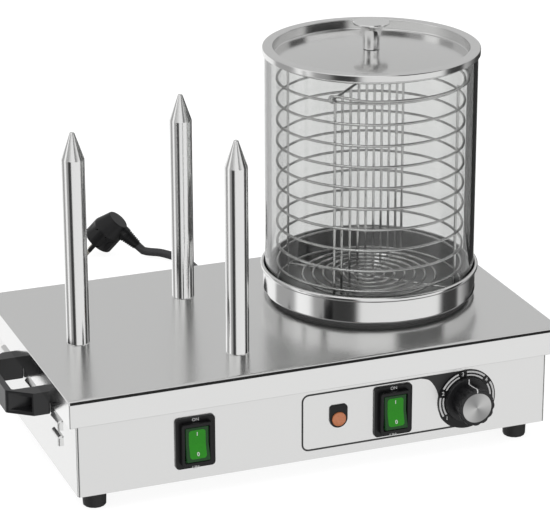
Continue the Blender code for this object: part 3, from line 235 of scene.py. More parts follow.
def settle(name, bm, finish, stands_for=(), body="base", slot="black_plastic"):
    """Makes a bmesh a piece that rides on a body."""
    bmesh.ops.remove_doubles(bm, verts=bm.verts, dist=MERGE)
    bmesh.ops.recalc_face_normals(bm, faces=bm.faces)
    mesh = mesh_from(name, bm)
    mesh.shade_smooth()
    mesh.set_sharp_from_angle(angle=SHARP)
    return ride_on(name, mesh, finish, stands_for, body)


def turned(name, profile, place, steps, *ride, closed=False, ease_steps=5, **rides):
    """A finished piece that is spun from one profile, with its corners eased."""
    bm = bmesh.new()
    lathe(bm, eased(profile, ease_steps), place, steps, closed)
    return settle(name, bm, *ride, **rides)


def copy_of(node):
    """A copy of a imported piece, with its doubled points merged."""
    bm = bmesh.new()
    bm.from_mesh(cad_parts[node].data)
    bmesh.ops.remove_doubles(bm, verts=bm.verts, dist=MERGE)
    return bm


def join_flat(bm):
    """Takes away the edges between faces that lie in one plane."""
    bmesh.ops.dissolve_limit(bm, angle_limit=FLAT, verts=bm.verts, edges=bm.edges)


def smoothed(node, finish, slot):
    """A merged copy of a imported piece, shaded smooth where it is round."""
    bm = copy_of(node)
    join_flat(bm)
    settle(f"{node}_finish", bm, finish, [node], slot=slot)


def measures(node):
    """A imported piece's lowest and highest corners, its middle, and half its width."""
    low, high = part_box(node)
    return low, high, (low + high) / 2, (high.x - low.x) / 2


# %% [markdown]
# ## Materials
# Every finish is a small node tree. A brushed sheet gets long fine scratches, from noise that is
# stretched along one axis, in its colour, its roughness and its bump. Black plastic gets a spark-
# eroded grain, rubber a dull bloom. Textures read Object coordinates, so they are real-sized.

# %% Material helpers
def feed(owner, socket, value):
    """Gives a socket a value, a colour, a grey, or what comes out of another node."""
    if isinstance(value, bpy.types.NodeSocket):
        owner.node_tree.links.new(value, socket)
    elif socket.type == "RGBA":
        colour = value if isinstance(value, tuple) else (value, value, value)
        socket.default_value = (*colour, 1)
    else:
        socket.default_value = value


def add(owner, kind, inputs=(), **settings):
    """A new node of a material or of the world, with its settings and what feeds it."""
    node = owner.node_tree.nodes.new(f"ShaderNode{kind}")
    for key, value in settings.items():
        setattr(node, key, value)
    for socket, value in dict(inputs).items():
        feed(owner, node.inputs[socket], value)
    return node


def calculate(owner, operation, *values, clamp=False):
    inputs = enumerate(values)
    return add(owner, "Math", inputs, operation=operation, use_clamp=clamp).outputs[0]


def tint(owner, factor, dark, light):
    """A colour between two, mixed by the factor."""
    inputs = {"Factor": factor, 6: dark, 7: light}
    return add(owner, "Mix", inputs, data_type="RGBA").outputs[2]


def spread(owner, factor, low, high):
    """The factor brought to lie between two values."""
    inputs = {"Value": factor, "To Min": low, "To Max": high}
    return add(owner, "MapRange", inputs).outputs["Result"]


def noise(owner, scale, detail=3.0, stretch=(1, 1, 1)):
    """Noise in Object coordinates: stretch is how often it repeats along each axis."""
    place = add(owner, "TexCoord").outputs["Object"]
    mapped = add(owner, "Mapping", {"Vector": place, "Scale": stretch}).outputs["Vector"]
    inputs = {"Vector": mapped, "Scale": scale, "Detail": detail}
    return add(owner, "TexNoise", inputs).outputs["Fac"]


def bump(owner, height, strength, distance):
    inputs = {"Height": height, "Strength": strength, "Distance": distance}
    return add(owner, "Bump", inputs).outputs["Normal"]


def place_from(owner, centre=(0, 0, 0)):
    """The X, Y and Z of Object coordinates, counted from a centre."""
    inputs = {0: add(owner, "TexCoord").outputs["Object"], 1: centre}
    away = add(owner, "VectorMath", inputs, operation="SUBTRACT").outputs[0]
    return add(owner, "SeparateXYZ", {0: away}).outputs


def dress(material, **sockets):
    """Feeds the sockets of a material's shader."""
    shader = material.node_tree.nodes["Principled BSDF"]
    for name, value in sockets.items():
        feed(material, shader.inputs[name.replace("_", " ")], value)


def change_where(material, inside, **sockets):
    """Where a factor is 1, the shader's sockets get other values than they had."""
    shader = material.node_tree.nodes["Principled BSDF"]
    for name, value in sockets.items():
        before = shader.inputs[name.replace("_", " ")].links[0].from_socket
        dress(material, **{name: tint(material, inside, before, value)})


def principled(name, colour, roughness, metallic=0.0, **sockets):
    made = bpy.data.materials.new(name)
    made.use_nodes = True
    dress(made, Base_Color=colour, Roughness=roughness, Metallic=metallic, **sockets)
    return made


def times(colour, factor):
    return tuple(value * factor for value in colour)


# %% Steel
SCRATCH_DEPTH = 0.0002


def brushed(name, colour, roughness, stretch, scratch=0.006):
    """Sheet steel with long fine scratches. Stretch is small along the way it was brushed."""
    made = principled(name, colour, roughness, 1.0)
    scratches = noise(made, 1.0, 4.0, stretch)
    clouds = spread(made, noise(made, 9.0, 2.0), 0.85, 1.1)
    both = calculate(made, "MULTIPLY", scratches, clouds)
    dress(
        made,
        Base_Color=tint(made, scratches, times(colour, 0.975), colour),
        Roughness=spread(made, both, roughness * 0.88, roughness * 1.12),
        Normal=bump(made, scratches, scratch, SCRATCH_DEPTH),
    )
    return made


STEEL = (0.80, 0.80, 0.795)
sheet_steel = brushed("brushed sheet steel", STEEL, 0.25, (14, 900, 900))
lid_steel = brushed("spun lid steel", (0.75, 0.75, 0.745), 0.17, (160, 160, 1400), 0.01)
polished_steel = brushed("polished steel", (0.82, 0.82, 0.815), 0.15, (900, 900, 30), 0.004)
pan_steel = brushed("pan steel", (0.78, 0.78, 0.775), 0.13, (200, 200, 1200), 0.01)
wire_steel = brushed("basket wire", (0.66, 0.66, 0.655), 0.12, (300, 300, 300), 0.02)
dull_steel = brushed("plated steel", (0.42, 0.42, 0.41), 0.38, (250, 250, 250), 0.05)
pin_metal = brushed("pin metal", (0.62, 0.58, 0.50), 0.3, (400, 400, 60), 0.02)

# %% Plastic, rubber and glass
GRAIN_BUMP = 0.25


def moulded(name, colour, roughness, grain, depth, shine=0.5):
    """Moulded plastic or rubber, with the fine grain of its mould."""
    made = principled(name, colour, roughness, Specular_IOR_Level=shine)
    fine = noise(made, grain, 2.0)
    dress(
        made,
        Base_Color=tint(made, fine, colour, times(colour, 1.35)),
        Roughness=spread(made, noise(made, 22.0), roughness * 0.85, roughness * 1.2),
        Normal=bump(made, fine, GRAIN_BUMP, depth),
    )
    return made


def cloudy(name, colour, roughness, scale, **sockets):
    """A smooth finish whose colour and gloss vary softly, as in clear plastic, glass or print."""
    made = principled(name, colour, roughness, **sockets)
    clouds = noise(made, scale)
    dress(
        made,
        Base_Color=tint(made, clouds, times(colour, 0.93), colour),
        Roughness=spread(made, clouds, roughness * 0.8, roughness * 1.2),
    )
    return made


BLACK = (0.006, 0.006, 0.0065)
black_plastic = moulded("black plastic", (0.012, 0.012, 0.013), 0.34, 1500.0, 0.00005)
knob_plastic = moulded("knob plastic", (0.008, 0.008, 0.009), 0.42, 1200.0, 0.00004)
foot_rubber = moulded("foot rubber", (0.016, 0.016, 0.016), 0.6, 700.0, 0.0001)
seat_rubber = moulded("seat rubber", (0.085, 0.085, 0.085), 0.55, 600.0, 0.0001)
cord_rubber = moulded("cord sheath", (0.028, 0.028, 0.03), 0.48, 500.0, 0.0001)
plug_plastic = moulded("plug plastic", BLACK, 0.36, 900.0, 0.00006, 0.3)
switch_plastic = moulded("switch plastic", BLACK, 0.33, 1500.0, 0.00005, 0.3)

clear = {"IOR": 1.46, "Transmission_Weight": 1.0}
clear_glass = cloudy("clear glass", (0.80, 0.805, 0.80), 0.004, 6.0, **clear)
white_ink = cloudy("white print", (0.74, 0.74, 0.74), 0.5, 800.0)
black_ink = cloudy("black print", (0.016, 0.016, 0.017), 0.32, 500.0)
green = (0.005, 0.055, 0.008)
lit_green = (0.026, 0.27, 0.014)
green_frame = cloudy("green rocker", green, 0.25, 300.0, Specular_IOR_Level=0.35)
green_window = cloudy("lit green window", lit_green, 0.35, 300.0, Specular_IOR_Level=0.2)
orange_lens = cloudy("orange lens", (0.58, 0.19, 0.075), 0.28, 400.0, Coat_Weight=0.5)
print(f"{len(bpy.data.materials)} materials")

# %% [markdown]
# ## The cord first
# A rubber mains cord leaves the gland at the back, drops to the table, and lies in a coil behind
# the machine, out of the camera's sight. From there it runs out to the plug, which stands on the
# tips of its pins. The route's own points were chosen one by one; a smooth curve through them
# carries the cord.

# %% The cord's sizes and route
CORD_RADIUS = 0.0046
CORD_Z = 0.0047
GLAND_X = 0.068
GLAND_Z = 0.048
COIL_Y = 0.295
COIL_RADIUS = 0.050
COIL_LOOPS = 3
COIL_PITCH = 0.0101
COIL_LAYER = 0.0099
COIL_X = GLAND_X - COIL_RADIUS - COIL_PITCH * COIL_LOOPS / 4
COIL_STEPS = 48
CLIMB_TURNS = 0.5
EXIT_ROUTE = (
    *((0.200, 0.0414), (0.216, 0.0352), (0.232, 0.0235)),
    *((0.247, 0.0115), (0.262, 0.0033), (0.276, 0.0)),
)
TAIL_ROUTE = (
    *((0.0682, 0.322, 0.0070), (0.0688, 0.342, 0.0028), (0.0694, 0.362, 0.0005)),
    *((0.0699, 0.382, 0.0), (0.0703, 0.401, 0.0), (0.0704, 0.419, 0.0), (0.0695, 0.4355, 0.0)),
    *((0.0660, 0.4505, 0.0), (0.0590, 0.4625, 0.0003), (0.0490, 0.4715, 0.0019)),
)

# %% The plug's frame
PLUG_TIP = (-0.0230, 0.5160)
PLUG_HEADING = math.radians(-31)
PLUG_TILT = math.radians(49)
PIN_RADIUS = 0.0024
PIN_LENGTH = 0.019
PIN_SPACING = 0.019
NECK_DEPTH = 0.028
NECK_START = 0.0183
NECK_LENGTH = 0.0175

heading = Vector((*polar(1, PLUG_HEADING), 0))
plug_back = heading * math.cos(PLUG_TILT) + UP * math.sin(PLUG_TILT)
to_cord = heading * math.sin(PLUG_TILT) - UP * math.cos(PLUG_TILT)
tip_z = PIN_RADIUS * math.cos(PLUG_TILT) + CORD_Z - CORD_RADIUS
plug_face = Vector((*PLUG_TIP, tip_z)) + plug_back * PIN_LENGTH
plug_turn = Matrix((to_cord.cross(plug_back), to_cord, plug_back)).transposed().to_4x4()
plug_place = Matrix.Translation(plug_face) @ plug_turn

# %% One smooth line for the whole cord
ROUTE_STEPS = 5


def smooth_route(points, start_way, end_way):
    """Points along a smooth curve through a route, straight for one diameter at both ends."""
    first = points[0] + start_way * 2 * CORD_RADIUS
    last = points[-1] - end_way * 2 * CORD_RADIUS
    route = [points[0], first, *points[1:-1], last, points[-1]]
    dense = [route[0]]
    for before, here, after, beyond in zip(route, route[1:], route[2:], route[3:]):
        span = (after - here).length
        leave = (after - before).normalized() * span
        arrive = (beyond - here).normalized() * span
        for k in range(ROUTE_STEPS):
            t = k / ROUTE_STEPS
            stay = here * (2 * t**3 - 3 * t**2 + 1) + leave * (t**3 - 2 * t**2 + t)
            dense.append(stay + after * (3 * t**2 - 2 * t**3) + arrive * (t**3 - t**2))
    return dense + route[-2:]


def coil_point(turns):
    """Loops that spiral in on the table, climb a layer, and spiral out on top."""
    from_middle = abs(turns - COIL_LOOPS / 2)
    radius = COIL_RADIUS + COIL_PITCH * (from_middle - COIL_LOOPS / 4)
    climb = min(1, max(0, (turns - COIL_LOOPS / 2) / CLIMB_TURNS + 0.5))
    z = CORD_Z + COIL_LAYER * climb * climb * (3 - 2 * climb)
    return Vector((*polar(radius, FULL_TURN * turns), z)) + Vector((COIL_X, COIL_Y, 0))


ahead = Vector((0, 1, 0))
straight = ahead * 2 * CORD_RADIUS
coil = [coil_point(i / COIL_STEPS) for i in range(COIL_LOOPS * COIL_STEPS + 1)]
exit_point = Vector((GLAND_X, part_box("cord_gland")[1].y, GLAND_Z))
falling = [Vector((GLAND_X, y, CORD_Z + lift)) for y, lift in EXIT_ROUTE]
running = [Vector((x, y, CORD_Z + lift)) for x, y, lift in TAIL_ROUTE]
neck_end = plug_place @ Vector((0, NECK_START + NECK_LENGTH, NECK_DEPTH))
cord_line = smooth_route([exit_point, *falling, coil[0] - straight], ahead, ahead)
cord_line += coil
cord_line += smooth_route([coil[-1] + straight, *running, neck_end], ahead, -to_cord)

# %% The cord itself
cord_curve = bpy.data.curves.new("mains_cord", "CURVE")
cord_curve.dimensions = "3D"
cord_curve.bevel_depth = CORD_RADIUS
cord_curve.bevel_resolution = 6
cord_curve.use_fill_caps = True
cord_spline = cord_curve.splines.new("POLY")
cord_spline.points.add(len(cord_line) - 1)
for spot, place in zip(cord_spline.points, cord_line):
    spot.co = (*place, 1)
cord_spline.use_smooth = True
CORD_NODES = ["cord_exit", "cord_coil", "cord_tail"]
mains_cord = ride_on("mains_cord", cord_curve, cord_rubber, CORD_NODES)

# %% [markdown]
# ## The plug
# A moulded angled plug: a round rim with two recesses, a back that narrows towards the cord, a
# ribbed bend relief, and two pins in sleeves. The relief is turned from a profile with a groove for
# each rib.

# %% Plug housing
GAP = 0.0003
PLUG_RADIUS = 0.0180
PLUG_RIM = 0.019
PLUG_DEPTH = 0.0366
PLUG_EASE = 0.0012
PLUG_BACK_RADIUS = 0.0125
PLUG_BACK_SHIFT = 0.001
PLUG_SLOTS = ((8, 78), (-95, -30))
SLOT_MARGIN = 0.0045
SLOT_DEPTH = 0.0016
ON_SIDE = 0.98
HALFWAY = 0.001
CRISP = math.radians(15)
BOSS_RADIUS = 0.0084
BOSS_START = PLUG_BACK_RADIUS * 0.4
BACKWARDS = Matrix.Rotation(-math.pi / 2, 4, "X")

into_plug = plug_place.inverted()
bm = bmesh.new()
slab(bm, circle(PLUG_RADIUS), 0, PLUG_RIM, plug_place)
back_face = max(bm.faces, key=lambda face: (into_plug @ face.calc_center_median()).z)
extruded = bmesh.ops.extrude_discrete_faces(bm, faces=[back_face])["faces"][0]
narrower = PLUG_BACK_RADIUS / PLUG_RADIUS
bmesh.ops.scale(bm, vec=(narrower, narrower, 1), space=into_plug, verts=extruded.verts)
shift = plug_place.to_3x3() @ Vector((0, PLUG_BACK_SHIFT, PLUG_DEPTH - PLUG_RIM))
bmesh.ops.translate(bm, vec=shift, verts=extruded.verts)
bmesh.ops.remove_doubles(bm, verts=bm.verts, dist=MERGE)
crisp = [e for e in bm.edges if len(e.link_faces) == 2 and e.calc_face_angle(0) > CRISP]
round_off(bm, crisp, PLUG_EASE)
for first, last in PLUG_SLOTS:
    slot = []
    for face in bm.faces:
        middle = into_plug @ face.calc_center_median()
        angle = math.degrees(math.atan2(middle.y, middle.x))
        outside = middle.xy.length > PLUG_RADIUS * ON_SIDE
        if outside and abs(middle.z - PLUG_RIM / 2) < HALFWAY and first < angle < last:
            slot.append(face)
    recess = {"thickness": SLOT_MARGIN, "depth": -SLOT_DEPTH, "use_even_offset": True}
    bmesh.ops.inset_region(bm, faces=slot, **recess)
boss_place = plug_place @ Matrix.Translation((0, 0, NECK_DEPTH)) @ BACKWARDS
cylinder(bm, BOSS_RADIUS, BOSS_START, NECK_START, boss_place, ROUGH, PLUG_EASE)
settle("plug_housing", bm, plug_plastic, ["plug_body"])

# %% Bend relief and pins
NECK_ROOT_RADIUS = 0.0081
NECK_END_RADIUS = 0.0056
NECK_RIBS = 7
NECK_GROOVE = 0.0009
RIB_SHARES = ((0.1, 0), (0.55, 0), (0.62, 1), (0.95, 1))
SLEEVE_SHARE = 0.62
PIN_SHARE = 0.94
PIN_EASE = 0.0011

neck_top = NECK_START + NECK_LENGTH
neck = [(0, NECK_START), (NECK_ROOT_RADIUS, NECK_START)]
for i in range(NECK_RIBS):
    for share, groove in RIB_SHARES:
        along = (i + share) / NECK_RIBS
        radius = NECK_ROOT_RADIUS + (NECK_END_RADIUS - NECK_ROOT_RADIUS) * along
        neck.append((radius - groove * NECK_GROOVE, NECK_START + NECK_LENGTH * along))
neck += [(NECK_END_RADIUS, neck_top), (0, neck_top)]
plug_relief = turned("plug_relief", neck, boss_place, COARSE, plug_plastic, ["plug_neck"])

for side, node in ((-1, "plug_pin_a"), (1, "plug_pin_b")):
    pin_place = plug_place @ Matrix.Translation((side * PIN_SPACING / 2, 0, 0))
    bm = bmesh.new()
    cylinder(bm, PIN_RADIUS * PIN_SHARE, -PIN_LENGTH, -GAP, pin_place, ROUGH, PIN_EASE)
    settle(f"{node}_metal", bm, pin_metal, [node], slot="pin_brass")
    bm = bmesh.new()
    cylinder(bm, PIN_RADIUS, -PIN_LENGTH * SLEEVE_SHARE, -GAP, pin_place, ROUGH)
    settle(f"{node}_sleeve", bm, plug_plastic)

# %% [markdown]
# ## The gland
# The cord leaves the back through a screwed gland, whose tapered end keeps it from bending sharply.

# %% Gland
THREAD_RADIUS = 0.0075
THREAD_LENGTH = 0.011
GLAND_RADIUS = 0.0105
GLAND_FLANGE = 0.004
TAPER_RADII = (0.0074, 0.0068, 0.0055, 0.0053)
TAPER_LENGTH = 0.012

gland_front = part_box("body_shell")[1].y
gland_end = exit_point.y - gland_front
gland = [
    (0, -THREAD_LENGTH),
    (THREAD_RADIUS, -THREAD_LENGTH, 0.0005),
    (THREAD_RADIUS, GAP),
    (GLAND_RADIUS, GAP, 0.0004),
    (GLAND_RADIUS, GLAND_FLANGE, 0.0012),
    (TAPER_RADII[0], GLAND_FLANGE, 0.0006),
    (TAPER_RADII[1], GLAND_FLANGE + TAPER_LENGTH),
    (TAPER_RADII[2], gland_end - 0.001, 0.0005),
    (TAPER_RADII[3], gland_end),
    (0, gland_end),
]
gland_place = Matrix.Translation((GLAND_X, gland_front, GLAND_Z)) @ BACKWARDS
cord_relief = turned("cord_relief", gland, gland_place, COARSE, black_plastic, ["cord_gland"])

# %% [markdown]
# ## The studio
# Polished steel shows its surroundings more than its own colour. So the world is a painted studio
# for reflections. Low down it is a bright room with grey and dark strips at its sides, which give
# the round pieces their upright bands. A little higher, the wall behind the machine turns grey, for
# the top plate. Higher still, a dark panel hangs in front on the right, for the dark line along the
# plate's front bend, and the ceiling is light. Everything else sees plain white.

# %% The painted room
BEHIND = 0.61
STRIP_STOPS = (
    *((-180, 1.08), (-126, 1.08), (-121, 0.42), (-92, 0.42), (-85, 1.12), (-70, 1.05)),
    *((-63, 0.40), (-47, 0.36), (-40, 0.045), (-17, 0.05), (-10, 0.90), (78, 0.93)),
    *((85, 0.06), (108, 0.05), (113, 0.55), (128, 0.22), (140, 0.05), (166, 0.06)),
    *((172, 1.0), (180, 1.0)),
)
RAISED_STOPS = (
    *((-180, BEHIND), (-114, BEHIND)),
    *STRIP_STOPS[2:14],
    *((113, 0.55), (130, BEHIND), (180, BEHIND)),
)
HIGH_STOPS = (
    *((-180, BEHIND), (-120, BEHIND), (-85, 0.90), (25, 0.91), (31, 0.02), (84, 0.02)),
    *((90, 0.85), (95, 0.80), (125, BEHIND), (180, BEHIND)),
)
UNDERFOOT = 0.25
OVERHEAD = 1.15
AMBIENT = 0.80
CAMERA_SIDE = math.radians(-111.05)

world = bpy.data.worlds.new("studio")
bpy.context.scene.world = world
world.use_nodes = True


def round_ramp(share, stops):
    """Brightness round the horizon, from stops of degrees from the camera's side."""
    made = add(world, "ValToRGB", {"Fac": share})
    ramp = made.color_ramp
    while len(ramp.elements) < len(stops):
        ramp.elements.new(0.5)
    for element, (degrees, level) in zip(ramp.elements, stops):
        element.position = (degrees + 180) / 360
        element.color = (level, level, level, 1)
    return made.outputs["Color"]


def seen_directly(owner):
    """1 where the camera looks, straight or through glass, and 0 for light and reflections."""
    rays = add(owner, "LightPath").outputs
    return calculate(owner, "ADD", rays["Is Camera Ray"], rays["Is Transmission Ray"], clamp=True)


direction = add(world, "TexCoord").outputs["Generated"]
parts = add(world, "SeparateXYZ", {0: direction}).outputs
around = calculate(world, "ARCTAN2", parts["Y"], parts["X"])
around = calculate(world, "SUBTRACT", around, CAMERA_SIDE)
around = calculate(world, "WRAP", around, math.pi, -math.pi)
share = calculate(world, "ADD", calculate(world, "DIVIDE", around, FULL_TURN), 0.5)
# Each layer starts at a height of the direction, which is the sine of its elevation.
LAYERS = (
    (-0.66, 0.10, round_ramp(share, STRIP_STOPS)),
    (0.02, 0.06, round_ramp(share, RAISED_STOPS)),
    (0.285, 0.03, round_ramp(share, HIGH_STOPS)),
    (0.95, 0.03, OVERHEAD),
)
room = UNDERFOOT
for start, width, brightness in LAYERS:
    over = calculate(world, "SUBTRACT", parts["Z"], start)
    room = tint(world, calculate(world, "DIVIDE", over, width, clamp=True), room, brightness)
plain = tint(world, seen_directly(world), AMBIENT, 1.0)
glossy = add(world, "LightPath").outputs["Is Glossy Ray"]
background = world.node_tree.nodes["Background"]
feed(world, background.inputs["Color"], tint(world, glossy, plain, room))

# %% Floor and lamp
FLOOR_SIZE = 6.0
FLOOR_Z = -0.0002
FLOOR_PALE = 0.9
FLOOR_SEEN = 0.27
GLOW = 0.88
KEY_POWER = 14
KEY_SIZE = 1.6
KEY_PLACE = Vector((-1.3, -0.9, 2.4))

bm = bmesh.new()
bmesh.ops.create_grid(bm, x_segments=1, y_segments=1, size=FLOOR_SIZE)
floor = in_scene("floor", mesh_from("floor", bm))
floor.location.z = FLOOR_Z
floor.visible_glossy = False
floor_paint = principled("pale floor", FLOOR_PALE, 0.9, Specular_IOR_Level=0.0)
direct = seen_directly(floor_paint)
dress(
    floor_paint,
    Base_Color=tint(floor_paint, direct, FLOOR_PALE, FLOOR_SEEN),
    Emission_Color=1.0,
    Emission_Strength=calculate(floor_paint, "MULTIPLY", direct, GLOW),
)
floor.data.materials.append(floor_paint)

key_data = bpy.data.lights.new("key", "AREA")
key_data.energy = KEY_POWER
key_data.shape = "SQUARE"
key_data.size = KEY_SIZE
key = in_scene("key", key_data)
towards_middle = KEY_PLACE.to_track_quat("Z", "Y").to_matrix().to_4x4()
key.matrix_world = Matrix.Translation(KEY_PLACE) @ towards_middle
key.visible_glossy = False

# %% [markdown]
# Glass on a white ground loses its edges, so a photographer stands a card beside it, out of the
# picture. These cards are seen only through the glass: a black one on the right, a grey one on the
# left.

# %% Cards for the glass
CARD_NEAR = 0.15
CARD_FAR = 0.75
CARD_BEHIND = 0.30
CARD_HEIGHT = 0.45
CARD_LOW = 0.001
across_view = camera.matrix_world.to_3x3() @ Vector((1, 0, 0))
away = UP.cross(across_view).normalized()
glass_low, glass_high, glass_middle, glass_radius = measures("glass_cylinder")
for side, name, grey in ((1, "right", 0.01), (-1, "left", 0.35)):
    bm = bmesh.new()
    verts = []
    for out in (CARD_NEAR, CARD_FAR):
        end = glass_middle + away * CARD_BEHIND + across_view * side * out
        verts.append(bm.verts.new((end.x, end.y, CARD_LOW)))
    risen = bmesh.ops.extrude_edge_only(bm, edges=[bm.edges.new(verts)])["geom"]
    upper = [v for v in risen if isinstance(v, bmesh.types.BMVert)]
    bmesh.ops.translate(bm, vec=UP * CARD_HEIGHT, verts=upper)
    card = in_scene(f"card_{name}", mesh_from(f"card_{name}", bm))
    card.data.materials.append(cloudy(f"card {name}", (grey, grey, grey), 0.9, 3.0))
    for ray in ("camera", "diffuse", "glossy", "shadow"):
        setattr(card, f"visible_{ray}", False)

# %% [markdown]
# ## The cover plate
# One sheet is folded down on all four sides. The front and back folds are wide, so they catch a
# bright line and a dark line, while the side folds are tight. A box is bevelled twice, opened at
# the bottom and given the sheet's thickness. Its bends are polished, and its flat top is brushed.

# %% Cover plate
SHEET = 0.001
FRONT_BEND = 0.005
SIDE_BEND = 0.0013
RIM_EASE = 0.0004
BEND_ROUGHNESS = 0.12
NEARLY = 0.9

plate_low, plate_high, plate_middle, _ = measures("cover_plate")
cover_steel = brushed("brushed cover", STEEL, 0.21, (14, 900, 900))
below_top = calculate(cover_steel, "LESS_THAN", place_from(cover_steel)["Z"], plate_high.z - 0.0002)
change_where(cover_steel, below_top, Roughness=BEND_ROUGHNESS)


def lies_at(edge, z):
    return all(abs(v.co.z - z) < MERGE for v in edge.verts)


bm = bmesh.new()
shape = Matrix.Translation(plate_middle) @ Matrix.Diagonal((*(plate_high - plate_low), 1))
bmesh.ops.create_cube(bm, size=1, matrix=shape)
top = [e for e in bm.edges if lies_at(e, plate_high.z)]
round_off(bm, [e for e in top if abs(e.verts[0].co.y - e.verts[1].co.y) < MERGE], FRONT_BEND, 8)
folds = [e for e in bm.edges if e.calc_face_angle(0) > SHARP and not lies_at(e, plate_low.z)]
round_off(bm, folds, SIDE_BEND, 4)
bm.normal_update()
bmesh.ops.delete(bm, geom=[f for f in bm.faces if f.normal.z < -NEARLY], context="FACES")
bmesh.ops.solidify(bm, geom=bm.faces[:], thickness=SHEET)
rim = [e for e in bm.edges if lies_at(e, plate_low.z) and e.calc_face_angle(0) > SHARP]
round_off(bm, rim, RIM_EASE, 2)
folded_cover = settle("folded_cover", bm, cover_steel, ["cover_plate"], slot="sheet_steel")

# %% [markdown]
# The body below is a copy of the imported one, so it keeps its openings. Only the louvres' plain
# hoods are taken off. New ones are made from a slab of their section, whose ends are rounded as a
# press rounds them. The slab is then opened behind and below, and given the sheet's thickness.

# %% Body with pressed louvres
LOUVRE_LENGTH = 0.0249
LOUVRE_HEIGHT = 0.0094
LOUVRE_BULGE = 0.0050
LOUVRE_SHOULDER = 0.0040
LOUVRE_END = 0.0022
LOUVRE_WALL = 0.0009
LOUVRE_PITCH = 0.084
LOUVRE_SHIFT = 0.0065
LOUVRE_ROWS = (0.0715, 0.0565)


def louvre(bm, side, y, z):
    """One hood on the left (-1) or right (1) wall: X points out of it, Y up and Z along it."""
    turn = Matrix(((side, 0, 0, 0), (0, 0, -side, 0), (0, 1, 0, 0), (0, 0, 0, 1)))
    place = Matrix.Translation((side * wall_x, y, z)) @ turn
    half = LOUVRE_HEIGHT / 2
    inside = -SHEET / 2
    shoulder = (LOUVRE_BULGE, half, LOUVRE_SHOULDER)
    section = eased([(inside, -half), (LOUVRE_BULGE, -half), shoulder, (inside, half)])
    before = set(bm.faces)
    slab(bm, section, -LOUVRE_LENGTH / 2, LOUVRE_LENGTH / 2, place)
    mine = [f for f in bm.faces if f not in before]
    out = place.to_3x3() @ Vector((1, 0, 0))
    bmesh.ops.recalc_face_normals(bm, faces=mine)
    opened = [f for f in mine if f.normal.dot(out) < -NEARLY or f.normal.z < -NEARLY]
    bmesh.ops.delete(bm, geom=opened, context="FACES")
    ends = [f for f in bm.faces if f not in before and abs(f.normal.y) > NEARLY]
    round_off(bm, {e for f in ends for e in f.edges if len(e.link_faces) == 2}, LOUVRE_END, 4)
    mine = [f for f in bm.faces if f not in before]
    bmesh.ops.solidify(bm, geom=mine, thickness=LOUVRE_WALL)


bm = copy_of("body_shell")
body_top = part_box("body_shell")[1].z
wall_x = max(v.co.x for v in bm.verts if v.co.z > body_top - MERGE)
hooded = [v for v in bm.verts if abs(v.co.x) > wall_x + 0.0001]
bmesh.ops.delete(bm, geom=hooded, context="VERTS")
join_flat(bm)
for side in (-1, 1):
    for z in LOUVRE_ROWS:
        for column in (-1, 0, 1):
            louvre(bm, side, plate_middle.y + LOUVRE_SHIFT + column * LOUVRE_PITCH, z)
print(f"body of {len(bm.faces)} faces, walls at {wall_x * 1000:.1f} mm")
pressed_body = settle("pressed_body", bm, sheet_steel, ["body_shell"], slot="sheet_steel")

# %% Feet, underside and what is inside
SPIKES = ("left", "back", "front")
SIDES = ("left", "right")
SPIKE_NUTS = [f"spike_nut_{place}" for place in SPIKES]
WORKINGS = ["thermostat_body", "thermostat_shaft", "heater_element"]

for side in SIDES:
    for end in ("front", "back"):
        smoothed(f"foot_{end}_{side}", foot_rubber, "foot_rubber")
for finish, nodes in (
    (sheet_steel, ["bottom_plate"]),
    (black_plastic, ["gland_nut"]),
    (dull_steel, [*WORKINGS, "heater_plate", "lid_knob_screw", *SPIKE_NUTS]),
    (dull_steel, [f"handle_screw_{side}_{end}" for side in SIDES for end in "ab"]),
    (seat_rubber, ["pan_seat_ring", "terminal_block"]),
):
    for node in nodes:
        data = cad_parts[node].data
        data.materials.clear()
        data.materials.append(finish)

# %% [markdown]
# In a picture taken with a large soft light the round pieces keep their upright bands down to the
# plate. So the box and what is inside it aren't seen in other pieces' reflections.

# %% What other pieces don't reflect
unseen = ["bottom_plate", "gland_nut", "terminal_block", *WORKINGS, *SPIKE_NUTS]
for piece in [folded_cover, pressed_body, *(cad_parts[node] for node in unseen)]:
    piece.visible_glossy = False

# %% [markdown]
# ## Spikes
# A heated spike is a steel tube with a pointed end. It is turned from one profile.

# %% Spikes
SPIKE_CONE = 0.025
TIP_RADIUS = 0.0020
STEM_RADIUS = 0.004
for name in SPIKES:
    low, high, centre, radius = measures(f"spike_{name}")
    foot = plate_high.z + GAP
    profile = [
        (0, low.z),
        (STEM_RADIUS, low.z, 0.0006),
        (STEM_RADIUS, foot),
        (radius, foot, 0.0003),
        (radius, high.z - SPIKE_CONE, 0.001),
        (TIP_RADIUS, high.z, 0.0014),
        (0, high.z),
    ]
    axis = Matrix.Translation((centre.x, centre.y, 0))
    steel = {"finish": polished_steel, "slot": "bright_steel", "stands_for": [f"spike_{name}"]}
    turned(f"roll_spike_{name}", profile, axis, MEDIUM, ease_steps=6, **steel)

# %% [markdown]
# ## The steamer
# A shallow pan holds the water and carries the glass. The glass is a plain cylinder with fire-
# polished rims, and the lid is pressed from sheet, with a recessed top. The pan is rougher inside
# than outside, and its inside is painted darker, as painted shade.

# %% Pan
PAN_SHEET = 0.0008
PAN_ROLL = 0.0024
ROLL_EASE = 0.0019
PAN_STEPS = 160
# The inside's grey is painted shade, not the steel's own colour.
INSIDE_PAINTED_SHADE = 0.42
INSIDE_ROUGHNESS = 0.28

